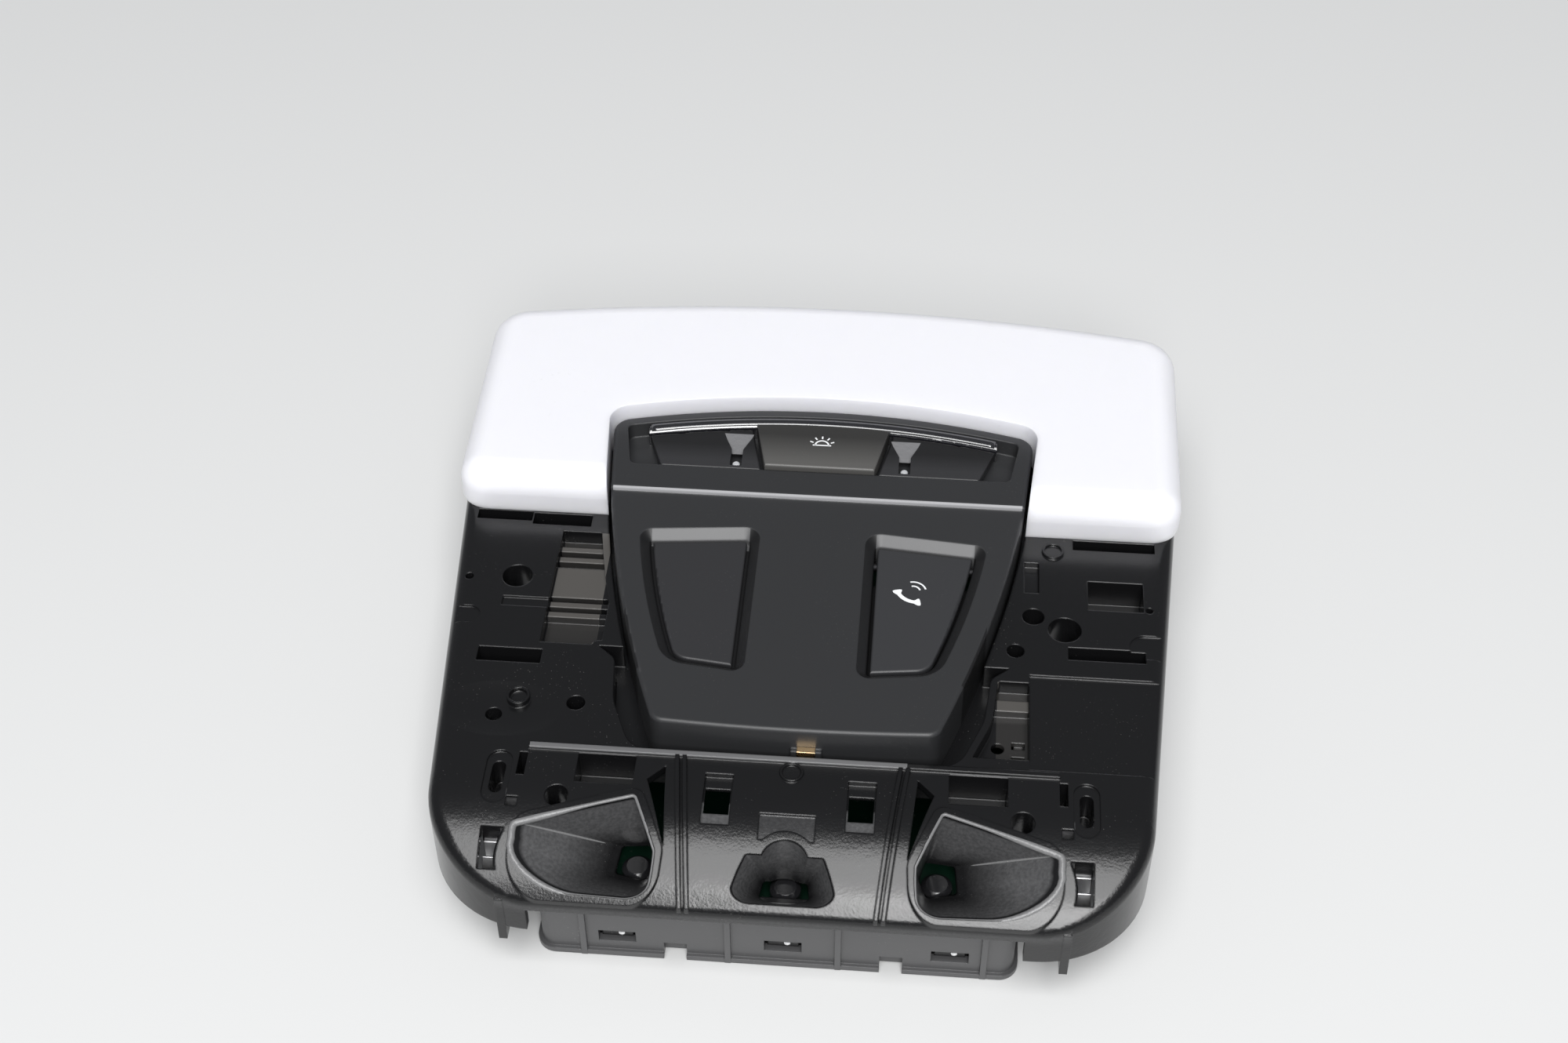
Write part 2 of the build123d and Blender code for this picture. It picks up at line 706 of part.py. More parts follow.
with BuildPart() as carrier:
    with BuildSketch(Plane.XY.offset(skirt_bottom)):
        add(wing_plan.sketch)
        add(grown(lens_plan.sketch, -lens_overhang))
    extrude(amount=plate_top - skirt_bottom)
    add(under_nose(0), mode=Mode.INTERSECT)
    rolled = carrier.edges().filter_by(
        lambda edge: edge.center().Z > lip_top and abs(edge.center().X) > housing_right and edge.center().Y < 0
    )
    fillet(rolled, radius=wing_edge_round)
    add(wing_hollow.part, mode=Mode.SUBTRACT)
    with BuildSketch(Plane.XY.offset(tub_floor_top)):
        add(tub_plan.sketch)
    extrude(amount=plate_top - tub_floor_top, mode=Mode.SUBTRACT)
    # Posts that carry the lamp board
    with BuildSketch(Plane.XY.offset(tub_floor_top)):
        with Locations(*dome_led_places):
            Circle(housing_post_radius)
    extrude(amount=tub_post)
    # Opening for the lamp board's tongue
    with Locations((dome_tongue_x, tub_front + tub_wall / 2, dome_board_bottom + board_thickness / 2)):
        Box(
            dome_tongue_width + 2 * tray_gap,
            tub_wall + 2 * cut_over,
            board_thickness + 2 * tub_post,
            mode=Mode.SUBTRACT,
        )
    # Wall that stands on the housing's rim
    with BuildSketch(Plane.XY.offset(housing_top)):
        add(housing_plan.sketch)
        offset(amount=-housing_wall, mode=Mode.SUBTRACT)
        with Locations((0, nose_front)):
            Rectangle(2 * half_span, 2 * (nose_start - nose_front), mode=Mode.SUBTRACT)
    extrude(amount=plate_under - housing_top)
    # Boxes and tubes under the plate round its pockets and holes
    with BuildSketch(Plane.XY.offset(pocket_floor - pocket_skin)):
        add(pocket_plan(pocket_skin))
        add(hole_plan(pocket_skin))
    extrude(amount=plate_under - pocket_floor + pocket_skin)
    with BuildSketch(Plane.XY.offset(clip_floor - clip_skin)):
        for centre_x, centre_y, width, depth in (clip_strip, clip_pad):
            with Locations((centre_x, centre_y)):
                Rectangle(width + 2 * clip_skin, depth + 2 * clip_skin)
    extrude(amount=plate_under - clip_floor + clip_skin)
    # Sunk clip beds beside the bezel
    with BuildSketch(Plane.XY.offset(clip_floor)):
        add(oblong(clip_strip))
        add(oblong(clip_pad))
    extrude(amount=plate_top - clip_floor, mode=Mode.SUBTRACT)
    add(clip_bars(clip_strip, clip_strip_bars))
    add(clip_bars(clip_pad, clip_pad_bars))
    with BuildSketch(Plane.XY.offset(clip_floor)):
        with Locations(*clip_pad_slots):
            Rectangle(*clip_pad_slot)
        with Locations(clip_pad_hole):
            Circle(clip_pad_hole_radius)
    extrude(amount=-clip_skin, mode=Mode.SUBTRACT)
    # Well with a seat for the bezel
    with BuildSketch(Plane.XY.offset(bezel_bottom - seat_thickness)):
        add(grown(well_plan.sketch, collar_wall))
    extrude(amount=plate_top - bezel_bottom + seat_thickness)
    with BuildSketch(Plane.XY.offset(bezel_bottom)):
        add(well_plan.sketch)
    extrude(amount=plate_top - bezel_bottom, mode=Mode.SUBTRACT)
    with BuildSketch(Plane.XY.offset(bezel_bottom)):
        add(grown(bezel_plan.sketch, -seat_width))
    extrude(amount=-seat_thickness, mode=Mode.SUBTRACT)
    # Open front under the lip, where the housing shows
    with BuildSketch(Plane.XY.offset(skirt_bottom - cut_over)):
        with Locations(((housing_left + housing_right) / 2, nose_front)):
            Rectangle(housing_right - housing_left + 2 * cut_over, 2 * skirt_wall + cut_over)
    extrude(amount=lip_top - lip_thickness - skirt_bottom + cut_over, mode=Mode.SUBTRACT)
    # Shallow marks
    add(sunk(mark_plan.sketch, mark_depth), mode=Mode.SUBTRACT)
    add(sunk(oblong(step_panel), step_depth), mode=Mode.SUBTRACT)
    add(sunk(oblong(edge_notch), edge_notch_depth), mode=Mode.SUBTRACT)
    with Locations((dish_x, dish_y, plate_top - dish_depth + dish_ball)):
        add(dish.part, mode=Mode.SUBTRACT)
    # Reliefs on the plate and the nose
    add(on_nose(ring_plan.sketch, ring_height))
    add(on_nose(oblong((0, ledge_y, 2 * ledge_half, ledge_width)), ledge_height))
    for side in (-1, 1):
        for lane in (-rib_pitch / 2, rib_pitch / 2):
            rib = (
                (rib_far_x + lane - rib_width / 2, rib_start),
                (rib_far_x + lane + rib_width / 2, rib_start),
                (rib_near_x + lane + rib_width / 2, nose_front),
                (rib_near_x + lane - rib_width / 2, nose_front),
            )
            add(on_nose(plan_of(rib, side), rib_height))
        mouth = rounded_plan([(side * x, y) for x, y in tunnel_mouth], tunnel_mouth_rounds)
        add(on_nose(grown(mouth, tunnel_rim), tunnel_rim_height))
        add(sunk(plan_of(fin_places, side), fin_depth), mode=Mode.SUBTRACT)
        ledge = oblong((side * clip_window[0], *clip_window[1:]))
        add(sunk(ledge, clip_window_ledge), mode=Mode.SUBTRACT)
        with BuildSketch(Plane.XY.offset(tab_bottom)):
            with Locations((side * tab_x, tab_y)):
                Rectangle(tab_width, tab_depth)
        extrude(amount=lip_top - tab_bottom)
    # Pockets, holes and open windows
    with BuildSketch(Plane.XY.offset(pocket_floor)):
        add(pocket_plan(0))
    extrude(amount=plate_top - pocket_floor + cut_over, mode=Mode.SUBTRACT)
    with BuildSketch(Plane.XY.offset(pocket_floor - pocket_skin)):
        add(hole_plan(0))
        with Locations(*[(side * clip_window[0], clip_window[1]) for side in (-1, 1)]):
            Rectangle(*clip_window_throat)
    extrude(amount=plate_top - pocket_floor + pocket_skin + cut_over, mode=Mode.SUBTRACT)
    with BuildSketch(Plane.XY.offset(plate_top)):
        with Locations(*[(side * corner_window[0], corner_window[1]) for side in (-1, 1)]):
            Rectangle(*corner_window[2:])
    extrude(amount=lip_top - lip_thickness - plate_top, mode=Mode.SUBTRACT)
    # Light tunnels, with the snap arms that hold the housing
    add(tunnel_walls.part)
    with BuildSketch(Plane.XY.offset(snap_bottom)):
        with Locations(*[(x, snap_face + snap_arm / 2) for x in snap_places]):
            Rectangle(snap_width, snap_arm)
    extrude(amount=lip_top - snap_bottom)
    with BuildSketch(Plane.XY.offset(tunnel_foot - snap_shoulder)):
        with Locations((0, snap_face + snap_arm / 2)):
            Rectangle(2 * (centre_bore_radius + tunnel_wall), snap_arm)
    extrude(amount=lip_top - tunnel_foot + snap_shoulder)
    with BuildSketch(Plane.XY.offset(snap_bottom)):
        with Locations(*[(x, snap_face - snap_nub / 2) for x in snap_places]):
            Rectangle(snap_width, snap_nub)
    extrude(amount=snap_nub_height)
    for side in (-1, 1):
        add(tunnel_solid(tunnel_mouth, tunnel_throat, side, 0, tunnel_mouth_rounds), mode=Mode.SUBTRACT)
    add(centre_tunnel(0, centre_mouth_rounds), mode=Mode.SUBTRACT)
    # Walls that the roof clips lie against
    for side in (-1, 1):
        clip_wall_y = corner_window[1] + corner_window[3] / 2 + roof_clip_wall / 2
        with BuildSketch(Plane.XY.offset(skirt_bottom)):
            with Locations((side * corner_window[0], clip_wall_y)):
                Rectangle(corner_window[2], roof_clip_wall)
        extrude(amount=nose_height(clip_wall_y) - plate_skin / 2 - skirt_bottom)
carrier.part.label = "carrier"
export_step(carrier.part, "parts/carrier.step")

# Opal lens


def pillow(inset):
    """The lens's form, set in by inset from its outline and from its crown."""
    with BuildPart(mode=Mode.PRIVATE) as result:
        with BuildSketch(Plane.XY.offset(plate_top)):
            add(lens_plan.sketch)
            if inset > 0:
                offset(amount=-inset)
        extrude(amount=lens_height - inset)
        fillet(result.edges().group_by(Axis.Z)[-1], radius=lens_round - inset)
    return result.part


lens_hook_x = lens_near_half - lens_overhang - tub_wall - slide_gap

with BuildPart() as opal_lens:
    add(pillow(0))
    add(pillow(lens_wall), mode=Mode.SUBTRACT)
    with BuildPart(mode=Mode.PRIVATE) as notch_wall:
        with BuildSketch(Plane.XY.offset(plate_top)):
            add(grown(bezel_plan.sketch, lens_gap + lens_wall))
        extrude(amount=lens_height)
        add(pillow(0), mode=Mode.INTERSECT)
    add(notch_wall.part)
    with BuildSketch(Plane.XY.offset(plate_top)):
        add(grown(bezel_plan.sketch, lens_gap))
    extrude(amount=lens_height, mode=Mode.SUBTRACT)
    for side in (-1, 1):
        with BuildSketch(Plane.XY.offset(plate_top - lens_hook_drop)):
            with Locations(*[(side * (lens_hook_x - lens_hook_wall / 2), y) for y in lens_hook_places]):
                Rectangle(lens_hook_wall, lens_hook_width)
        extrude(amount=lens_hook_drop + lens_wall)
        bridge = lens_half - lens_wall - lens_hook_x + lens_hook_wall
        with BuildSketch(Plane.XY.offset(plate_top + slide_gap)):
            bridge_x = side * (lens_hook_x - lens_hook_wall + bridge / 2)
            with Locations(*[(bridge_x, y) for y in lens_hook_places]):
                Rectangle(bridge, lens_hook_width)
        extrude(amount=lens_wall - slide_gap)
opal_lens.part.label = "opal_lens"
export_step(opal_lens.part, "parts/opal_lens.step")

# Centre bezel

bosses = [(side * boss_row_x, boss_row_y) for side in (-1, 1)]
bosses += [(side * boss_foot_x, boss_foot_y) for side in (-1, 1)]
key_stems = [(-key_stem_x, key_stem_y), (0, key_stem_y), (key_stem_x, key_stem_y)]
pipe_places = [(-notch_x, pipe_y), (notch_x, pipe_y)]
bezel_under = bezel_panel_top - bezel_skin
panel_step = panel_top - panel_gap / 2
pin_start = panel_inner - panel_gap - pocket_wall
pin_end = panel_outer + panel_gap

# The switch row, one step above the lower panel
with BuildPart() as switch_row:
    with BuildSketch(Plane.XY.offset(bezel_under)):
        add(bezel_plan.sketch)
        with Locations((0, bezel_crease - half_span)):
            Rectangle(2 * half_span, 2 * half_span, mode=Mode.SUBTRACT)
    extrude(amount=bezel_row_top - bezel_under)
    fillet(switch_row.edges().group_by(Axis.Z)[-1], radius=bezel_edge_round)

with BuildPart() as centre_bezel:
    with BuildSketch(Plane.XY.offset(bezel_bottom)):
        add(bezel_plan.sketch)
    extrude(amount=bezel_panel_top - bezel_bottom)
    fillet(centre_bezel.edges().group_by(Axis.Z)[-1], radius=bezel_edge_round)
    add(switch_row.part)
    with BuildSketch(Plane.XY.offset(bezel_bottom)):
        add(grown(bezel_plan.sketch, -bezel_wall))
    extrude(amount=bezel_under - bezel_bottom, mode=Mode.SUBTRACT)
    # Switch recess with its floor
    with BuildSketch(Plane.XY.offset(recess_floor_top - recess_floor)):
        add(grown(recess_plan.sketch, recess_floor))
    extrude(amount=bezel_panel_top - recess_floor_top + recess_floor)
    with BuildSketch(Plane.XY.offset(recess_floor_top)):
        add(recess_plan.sketch)
    extrude(amount=bezel_row_top - recess_floor_top, mode=Mode.SUBTRACT)
    with BuildSketch(Plane.XY.offset(recess_floor_top)):
        with Locations(*key_stems):
            Rectangle(key_stem + 2 * slide_gap, key_stem + 2 * slide_gap)
        with Locations(*pipe_places):
            Circle(pipe_radius + pin_gap)
    extrude(amount=-recess_floor, mode=Mode.SUBTRACT)
    # Recessed panels: a pocket behind each, open through the skin, with a sloping edge
    for side in (-1, 1):
        with BuildSketch(Plane.XY.offset(pocket_bottom)):
            add(grown(panel_face(side), panel_gap + pocket_wall))
        extrude(amount=bezel_under - pocket_bottom)
        with BuildSketch(Plane.XY.offset(pocket_bottom)):
            add(grown(panel_face(side), panel_gap))
        extrude(amount=bezel_panel_top - pocket_bottom, mode=Mode.SUBTRACT)
        with BuildSketch(Plane.XY.offset(panel_step)):
            add(grown(panel_face(side), panel_gap))
        extrude(amount=bezel_panel_top - panel_step, taper=-panel_slope, mode=Mode.SUBTRACT)
    # Ledge under the left window
    with BuildSketch(Plane.XY.offset(panel_under)):
        add(grown(panel_face(-1), panel_gap + pocket_wall / 2))
        add(grown(panel_face(-1), -window_ledge), mode=Mode.SUBTRACT)
    extrude(amount=-window_ledge)
    # Guide plate for the call button on the right
    with BuildSketch(Plane.XY.offset(call_guide_top)):
        add(grown(panel_face(1), panel_gap + pocket_wall / 2))
        with Locations((0, call_guide_back + half_span)):
            Rectangle(2 * half_span, 2 * half_span, mode=Mode.SUBTRACT)
        with Locations((call_x, call_y)):
            Rectangle(call_width + 2 * slide_gap, call_depth + 2 * slide_gap, mode=Mode.SUBTRACT)
    extrude(amount=-call_guide)
    with BuildSketch(Plane.YZ.offset(pin_start)):
        with Locations((hinge_y, hinge_z)):
            Circle(hinge_pin_radius + pin_gap)
    extrude(amount=pin_end - pin_start, mode=Mode.SUBTRACT)
    # Screw bosses for the board
    with BuildSketch(Plane.XY.offset(bezel_board_top)):
        with Locations(*bosses):
            Circle(boss_radius)
    extrude(amount=bezel_under - bezel_board_top)
    with BuildSketch(Plane.XY.offset(bezel_board_top)):
        with Locations(*bosses):
            Circle(boss_screw_radius)
    extrude(amount=screw_length, mode=Mode.SUBTRACT)
    # Foot tab that carries the brass clip
    tab_end = bezel_foot - bezel_foot_bow - tab_clip_reach
    with BuildSketch(Plane.XY.offset(tab_clip_top - tab_clip_thickness)):
        with Locations((tab_clip_x, (tab_end + bezel_foot) / 2)):
            Rectangle(tab_clip_width, bezel_foot - tab_end)
    extrude(amount=tab_clip_thickness)
centre_bezel.part.label = "centre_bezel"
export_step(centre_bezel.part, "parts/centre_bezel.step")

# Gloss trim over the keys

with BuildPart() as gloss_trim:
    with BuildSketch(Plane.XY.offset(recess_floor_top)):
        with Locations((0, bezel_crown)):
            Rectangle(2 * trim_half, 2 * crown_sag + 4 * recess_border + 4 * trim_width)
        with Locations((0, crown_centre)):
            Circle(trim_outer, mode=Mode.INTERSECT)
            Circle(trim_inner, mode=Mode.SUBTRACT)
    extrude(amount=trim_top - recess_floor_top)
    fillet(gloss_trim.edges().group_by(Axis.Z)[-1].filter_by(GeomType.CIRCLE), radius=trim_round)
gloss_trim.part.label = "gloss_trim"
export_step(gloss_trim.part, "parts/gloss_trim.step")

# Keys


def notch_ramp(side):
    """The sloping funnel that is taken out of a side key, deepest at its throat."""
    funnel = (
        (notch_x - notch_top_half, notch_top),
        (notch_x + notch_top_half, notch_top),
        (notch_x + notch_throat_half, notch_throat),
        (notch_x - notch_throat_half, notch_throat),
    )
    with BuildPart(mode=Mode.PRIVATE) as result:
        with BuildSketch(Plane.YZ):
            with BuildLine():
                Polyline(
                    (notch_top, side_key_top),
                    (notch_throat, side_key_top - notch_depth),
                    (notch_throat, side_key_top + cut_over),
                    (notch_top, side_key_top + cut_over),
                    close=True,
                )
            make_face()
        extrude(amount=half_span, both=True)
        with BuildSketch(Plane.XY.offset(key_under)):
            add(plan_of(funnel, side))
        extrude(amount=side_key_top - key_under + cut_over, mode=Mode.INTERSECT)
    return result.part


for name, side in (("left_reading_key", -1), ("right_reading_key", 1)):
    side_key_inner = dome_key_half + dome_key_gap
    with BuildPart() as side_key:
        with BuildSketch(Plane.XY.offset(key_under)):
            add(key_face(side_key_inner, dome_key_lean, side_key_outer_half, side_key_outer_lean, side))
        extrude(amount=side_key_top - key_under)
        fillet(side_key.edges().group_by(Axis.Z)[-1], radius=key_round)
        add(notch_ramp(side), mode=Mode.SUBTRACT)
        with BuildSketch(Plane.XY.offset(key_under)):
            with Locations((side * notch_x, (notch_throat + notch_foot) / 2)):
                Rectangle(2 * notch_throat_half, notch_throat - notch_foot)
        extrude(amount=side_key_top - key_under, mode=Mode.SUBTRACT)
        with BuildSketch(Plane.XY.offset(plunger_top)):
            with Locations((side * key_stem_x, key_stem_y)):
                Rectangle(key_stem, key_stem)
        extrude(amount=key_under - plunger_top)
    side_key.part.label = name
    export_step(side_key.part, f"parts/{name}.step")

with BuildPart() as dome_light_key:
    with BuildSketch(Plane.XY.offset(key_under)):
        add(key_face(-dome_key_half, -dome_key_lean, dome_key_half, dome_key_lean, 1))
    extrude(amount=dome_key_top - key_under)
    fillet(dome_light_key.edges().group_by(Axis.Z)[-1], radius=key_round)
    with BuildSketch(Plane.XY.offset(plunger_top)):
        with Locations((0, key_stem_y)):
            Rectangle(key_stem, key_stem)
    extrude(amount=key_under - plunger_top)
dome_light_key.part.label = "dome_light_key"
export_step(dome_light_key.part, "parts/dome_light_key.step")

# Switches on the bezel board, and the plungers that ride with the keys

switch_top = bezel_board_top + switch_height
switch_groups = (("key_switches", key_stems), ("call_switch", [(call_x, call_y)]))
for name, places in switch_groups:
    with BuildPart() as switches:
        with BuildSketch(Plane.XY.offset(bezel_board_top)):
            with Locations(*places):
                Rectangle(switch_size, switch_size)
                Circle(plunger_radius + slide_gap, mode=Mode.SUBTRACT)
        extrude(amount=switch_height)
    switches.part.label = name
    export_step(switches.part, f"parts/{name}.step")

plungers = (
    ("left_key_plunger", key_stems[0]),
    ("dome_key_plunger", key_stems[1]),
    ("right_key_plunger", key_stems[2]),
    ("call_plunger", (call_x, call_y)),
)
for name, place in plungers:
    with BuildPart() as plunger:
        with BuildSketch(Plane.XY.offset(switch_top - plunger_engage)):
            with Locations(place):
                Circle(plunger_radius)
        extrude(amount=plunger_top - switch_top + plunger_engage)
    plunger.part.label = name
    export_step(plunger.part, f"parts/{name}.step")

# Light pipes

for name, place in (("left_light_pipe", pipe_places[0]), ("right_light_pipe", pipe_places[1])):
    with BuildPart() as light_pipe:
        with BuildSketch(Plane.XY.offset(bezel_board_top + led_height)):
            with Locations(place):
                Circle(pipe_radius)
        extrude(amount=pipe_top - bezel_board_top - led_height)
        chamfer(light_pipe.edges().group_by(Axis.Z)[-1], length=pipe_radius / 3)
    light_pipe.part.label = name
    export_step(light_pipe.part, f"parts/{name}.step")

# Indicator window with its light box

with BuildPart() as indicator_window:
    with BuildSketch(Plane.XY.offset(panel_under)):
        add(panel_face(-1))
    extrude(amount=panel_thickness)
    fillet(indicator_window.edges().group_by(Axis.Z)[-1], radius=key_round)
indicator_window.part.label = "indicator_window"
export_step(indicator_window.part, "parts/indicator_window.step")

with BuildPart() as indicator_light_box:
    with BuildSketch(Plane.XY.offset(bezel_board_top)):
        add(grown(panel_face(-1), -window_ledge - slide_gap))
        add(grown(panel_face(-1), -window_ledge - slide_gap - light_box_wall), mode=Mode.SUBTRACT)
    extrude(amount=panel_under - light_box_clear - bezel_board_top)
indicator_light_box.part.label = "indicator_light_box"
export_step(indicator_light_box.part, "parts/indicator_light_box.step")

# Call flap, its pin and the button under it

with BuildPart() as call_flap:
    with BuildSketch(Plane.XY.offset(panel_under)):
        add(panel_face(1))
    extrude(amount=panel_thickness)
    fillet(call_flap.edges().group_by(Axis.Z)[-1], radius=key_round)
    with BuildSketch(Plane.YZ.offset(hinge_barrel_start)):
        with Locations((hinge_y, hinge_z)):
            Circle(hinge_barrel_radius)
    extrude(amount=hinge_barrel_end - hinge_barrel_start)
    with BuildSketch(Plane.YZ.offset(pin_start)):
        with Locations((hinge_y, hinge_z)):
            Circle(hinge_pin_radius + pin_gap)
    extrude(amount=pin_end - pin_start, mode=Mode.SUBTRACT)
call_flap.part.label = "call_flap"
export_step(call_flap.part, "parts/call_flap.step")

with BuildPart() as flap_hinge_pin:
    with BuildSketch(Plane.YZ.offset(pin_start)):
        with Locations((hinge_y, hinge_z)):
            Circle(hinge_pin_radius)
    extrude(amount=pin_end - pin_start)
flap_hinge_pin.part.label = "flap_hinge_pin"
export_step(flap_hinge_pin.part, "parts/flap_hinge_pin.step")

with BuildPart() as call_button:
    with BuildSketch(Plane.XY.offset(plunger_top)):
        with Locations((call_x, call_y)):
            Rectangle(call_width + 2 * call_flange, call_depth + 2 * call_flange)
    extrude(amount=call_flange_thickness)
    with BuildSketch(Plane.XY.offset(plunger_top)):
        with Locations((call_x, call_y)):
            RectangleRounded(call_width, call_depth, call_flange)
    extrude(amount=call_top - plunger_top)
    chamfer(call_button.edges().group_by(Axis.Z)[-1], length=key_round)
call_button.part.label = "call_button"
export_step(call_button.part, "parts/call_button.step")

# Bezel board with its lamps and screws

with BuildPart() as bezel_board:
    with BuildSketch(Plane.XY.offset(bezel_board_bottom)):
        add(grown(bezel_plan.sketch, -bezel_wall - tray_gap))
        with Locations(*bosses):
            Circle(boss_screw_radius + pin_gap, mode=Mode.SUBTRACT)
    extrude(amount=bezel_board_thickness)
bezel_board.part.label = "bezel_board"
export_step(bezel_board.part, "parts/bezel_board.step")

indicator_led = (-call_x, call_y)
led_groups = (
    ("bezel_leds", pipe_places + [indicator_led], bezel_board_top),
    ("dome_leds", list(dome_led_places), dome_board_top),
    (
        "reading_leds",
        [(-tunnel_led_x, tunnel_led_y), (0, centre_led_y), (tunnel_led_x, tunnel_led_y)],
        main_board_top,
    ),
)
for name, places, level in led_groups:
    with BuildPart() as leds:
        with BuildSketch(Plane.XY.offset(level)):
            with Locations(*places):
                Rectangle(led_size, led_size)
        extrude(amount=led_height)
    leds.part.label = name
    export_step(leds.part, f"parts/{name}.step")

with BuildPart() as bezel_board_screws:
    with BuildSketch(Plane.XY.offset(bezel_board_bottom - screw_head)):
        with Locations(*bosses):
            Circle(screw_head_radius)
    extrude(amount=screw_head)
    with BuildSketch(Plane.XY.offset(bezel_board_bottom)):
        with Locations(*bosses):
            Circle(boss_screw_radius - pin_gap)
    extrude(amount=screw_length)
bezel_board_screws.part.label = "bezel_board_screws"
export_step(bezel_board_screws.part, "parts/bezel_board_screws.step")

# Lamp board and reflector under the lens

with BuildPart() as dome_board:
    with BuildSketch(Plane.XY.offset(dome_board_bottom)):
        add(grown(tub_plan.sketch, -tray_gap))
        tongue_root = tub_front + tub_wall + 2 * tray_gap
        with Locations((dome_tongue_x, (dome_tongue_end + tongue_root) / 2)):
            Rectangle(dome_tongue_width, tongue_root - dome_tongue_end)
    extrude(amount=board_thickness)
dome_board.part.label = "dome_board"
export_step(dome_board.part, "parts/dome_board.step")

with BuildSketch() as reflector_plan:
    add(grown(tub_plan.sketch, -slide_gap - lens_hook_wall - 3 * tray_gap))
    add(grown(well_plan.sketch, collar_wall + tray_gap), mode=Mode.SUBTRACT)

with BuildPart() as dome_reflector:
    with BuildSketch(Plane.XY.offset(dome_board_top)):
        add(reflector_plan.sketch)
    extrude(amount=plate_top - reflector_rim_drop - dome_board_top)
    with BuildSketch(Plane.XY.offset(dome_board_top + reflector_wall)):
        add(grown(reflector_plan.sketch, -reflector_wall))
    extrude(amount=plate_top - dome_board_top, mode=Mode.SUBTRACT)
    with BuildSketch(Plane.XY.offset(dome_board_top)):
        with Locations(*dome_led_places):
            Rectangle(led_size + 2 * tray_gap, led_size + 2 * tray_gap)
    extrude(amount=reflector_wall, mode=Mode.SUBTRACT)
dome_reflector.part.label = "dome_reflector"
export_step(dome_reflector.part, "parts/dome_reflector.step")

# Main board and what stands on it

board_left = housing_left + housing_wall + tray_gap
board_right = housing_right - housing_wall - tray_gap
board_centre = ((board_left + board_right) / 2, (main_board_front + main_board_back) / 2)

with BuildPart() as main_board:
    with BuildSketch(Plane.XY.offset(main_board_bottom)):
        with Locations(board_centre):
            RectangleRounded(board_right - board_left, main_board_back - main_board_front, housing_corner)
    extrude(amount=board_thickness)
main_board.part.label = "main_board"
export_step(main_board.part, "parts/main_board.step")

with BuildPart() as reading_optics:
    with BuildSketch(Plane.XY.offset(main_board_top)):
        with Locations((-tunnel_led_x, tunnel_led_y), (0, centre_led_y), (tunnel_led_x, tunnel_led_y)):
            Circle(optic_radius)
    extrude(amount=optic_height)
    chamfer(reading_optics.edges().group_by(Axis.Z)[-1], length=optic_dome)
    with BuildSketch(Plane.XY.offset(main_board_top)):
        with Locations((-tunnel_led_x, tunnel_led_y), (0, centre_led_y), (tunnel_led_x, tunnel_led_y)):
            Rectangle(led_size + 2 * pin_gap, led_size + 2 * pin_gap)
    extrude(amount=led_height + pin_gap, mode=Mode.SUBTRACT)
reading_optics.part.label = "reading_optics"
export_step(reading_optics.part, "parts/reading_optics.step")

links = (
    ("board_link", link_x, link_y, link_width, link_depth, bezel_board_bottom),
    ("dome_link", dome_tongue_x, dome_link_y, dome_link_width, link_depth, dome_board_bottom),
)
for name, centre_x, centre_y, width, depth, top in links:
    with BuildPart() as link:
        with BuildSketch(Plane.XY.offset(main_board_top)):
            with Locations((centre_x, centre_y)):
                Rectangle(width, depth)
        extrude(amount=top - main_board_top)
    link.part.label = name
    export_step(link.part, f"parts/{name}.step")

# Connector

socket_face = housing_left - socket_out
socket_back = housing_left + socket_in
socket_middle = main_board_bottom - socket_height / 2

with BuildPart() as connector_shroud:
    with BuildSketch(Plane.YZ.offset(socket_face)):
        with Locations((socket_y, socket_middle)):
            Rectangle(socket_width, socket_height)
    extrude(amount=socket_back - socket_face)
    with BuildSketch(Plane.YZ.offset(socket_face)):
        with Locations((socket_y, socket_middle)):
            Rectangle(socket_width - 2 * socket_wall, socket_height - 2 * socket_wall)
    extrude(amount=socket_depth, mode=Mode.SUBTRACT)
    with BuildSketch(Plane.YZ.offset(socket_face + socket_depth)):
        with Locations((socket_y, socket_middle)):
            with GridLocations(pin_pitch, pin_pitch, pin_columns, pin_rows):
                Rectangle(pin_size, pin_size)
    extrude(amount=socket_back - socket_face - socket_depth, mode=Mode.SUBTRACT)
connector_shroud.part.label = "connector_shroud"
export_step(connector_shroud.part, "parts/connector_shroud.step")

with BuildPart() as connector_pins:
    with BuildSketch(Plane.YZ.offset(socket_face + socket_depth - pin_reach)):
        with Locations((socket_y, socket_middle)):
            with GridLocations(pin_pitch, pin_pitch, pin_columns, pin_rows):
                Rectangle(pin_size, pin_size)
    extrude(amount=socket_back - socket_face - socket_depth + pin_reach)
connector_pins.part.label = "connector_pins"
export_step(connector_pins.part, "parts/connector_pins.step")

# Rear housing

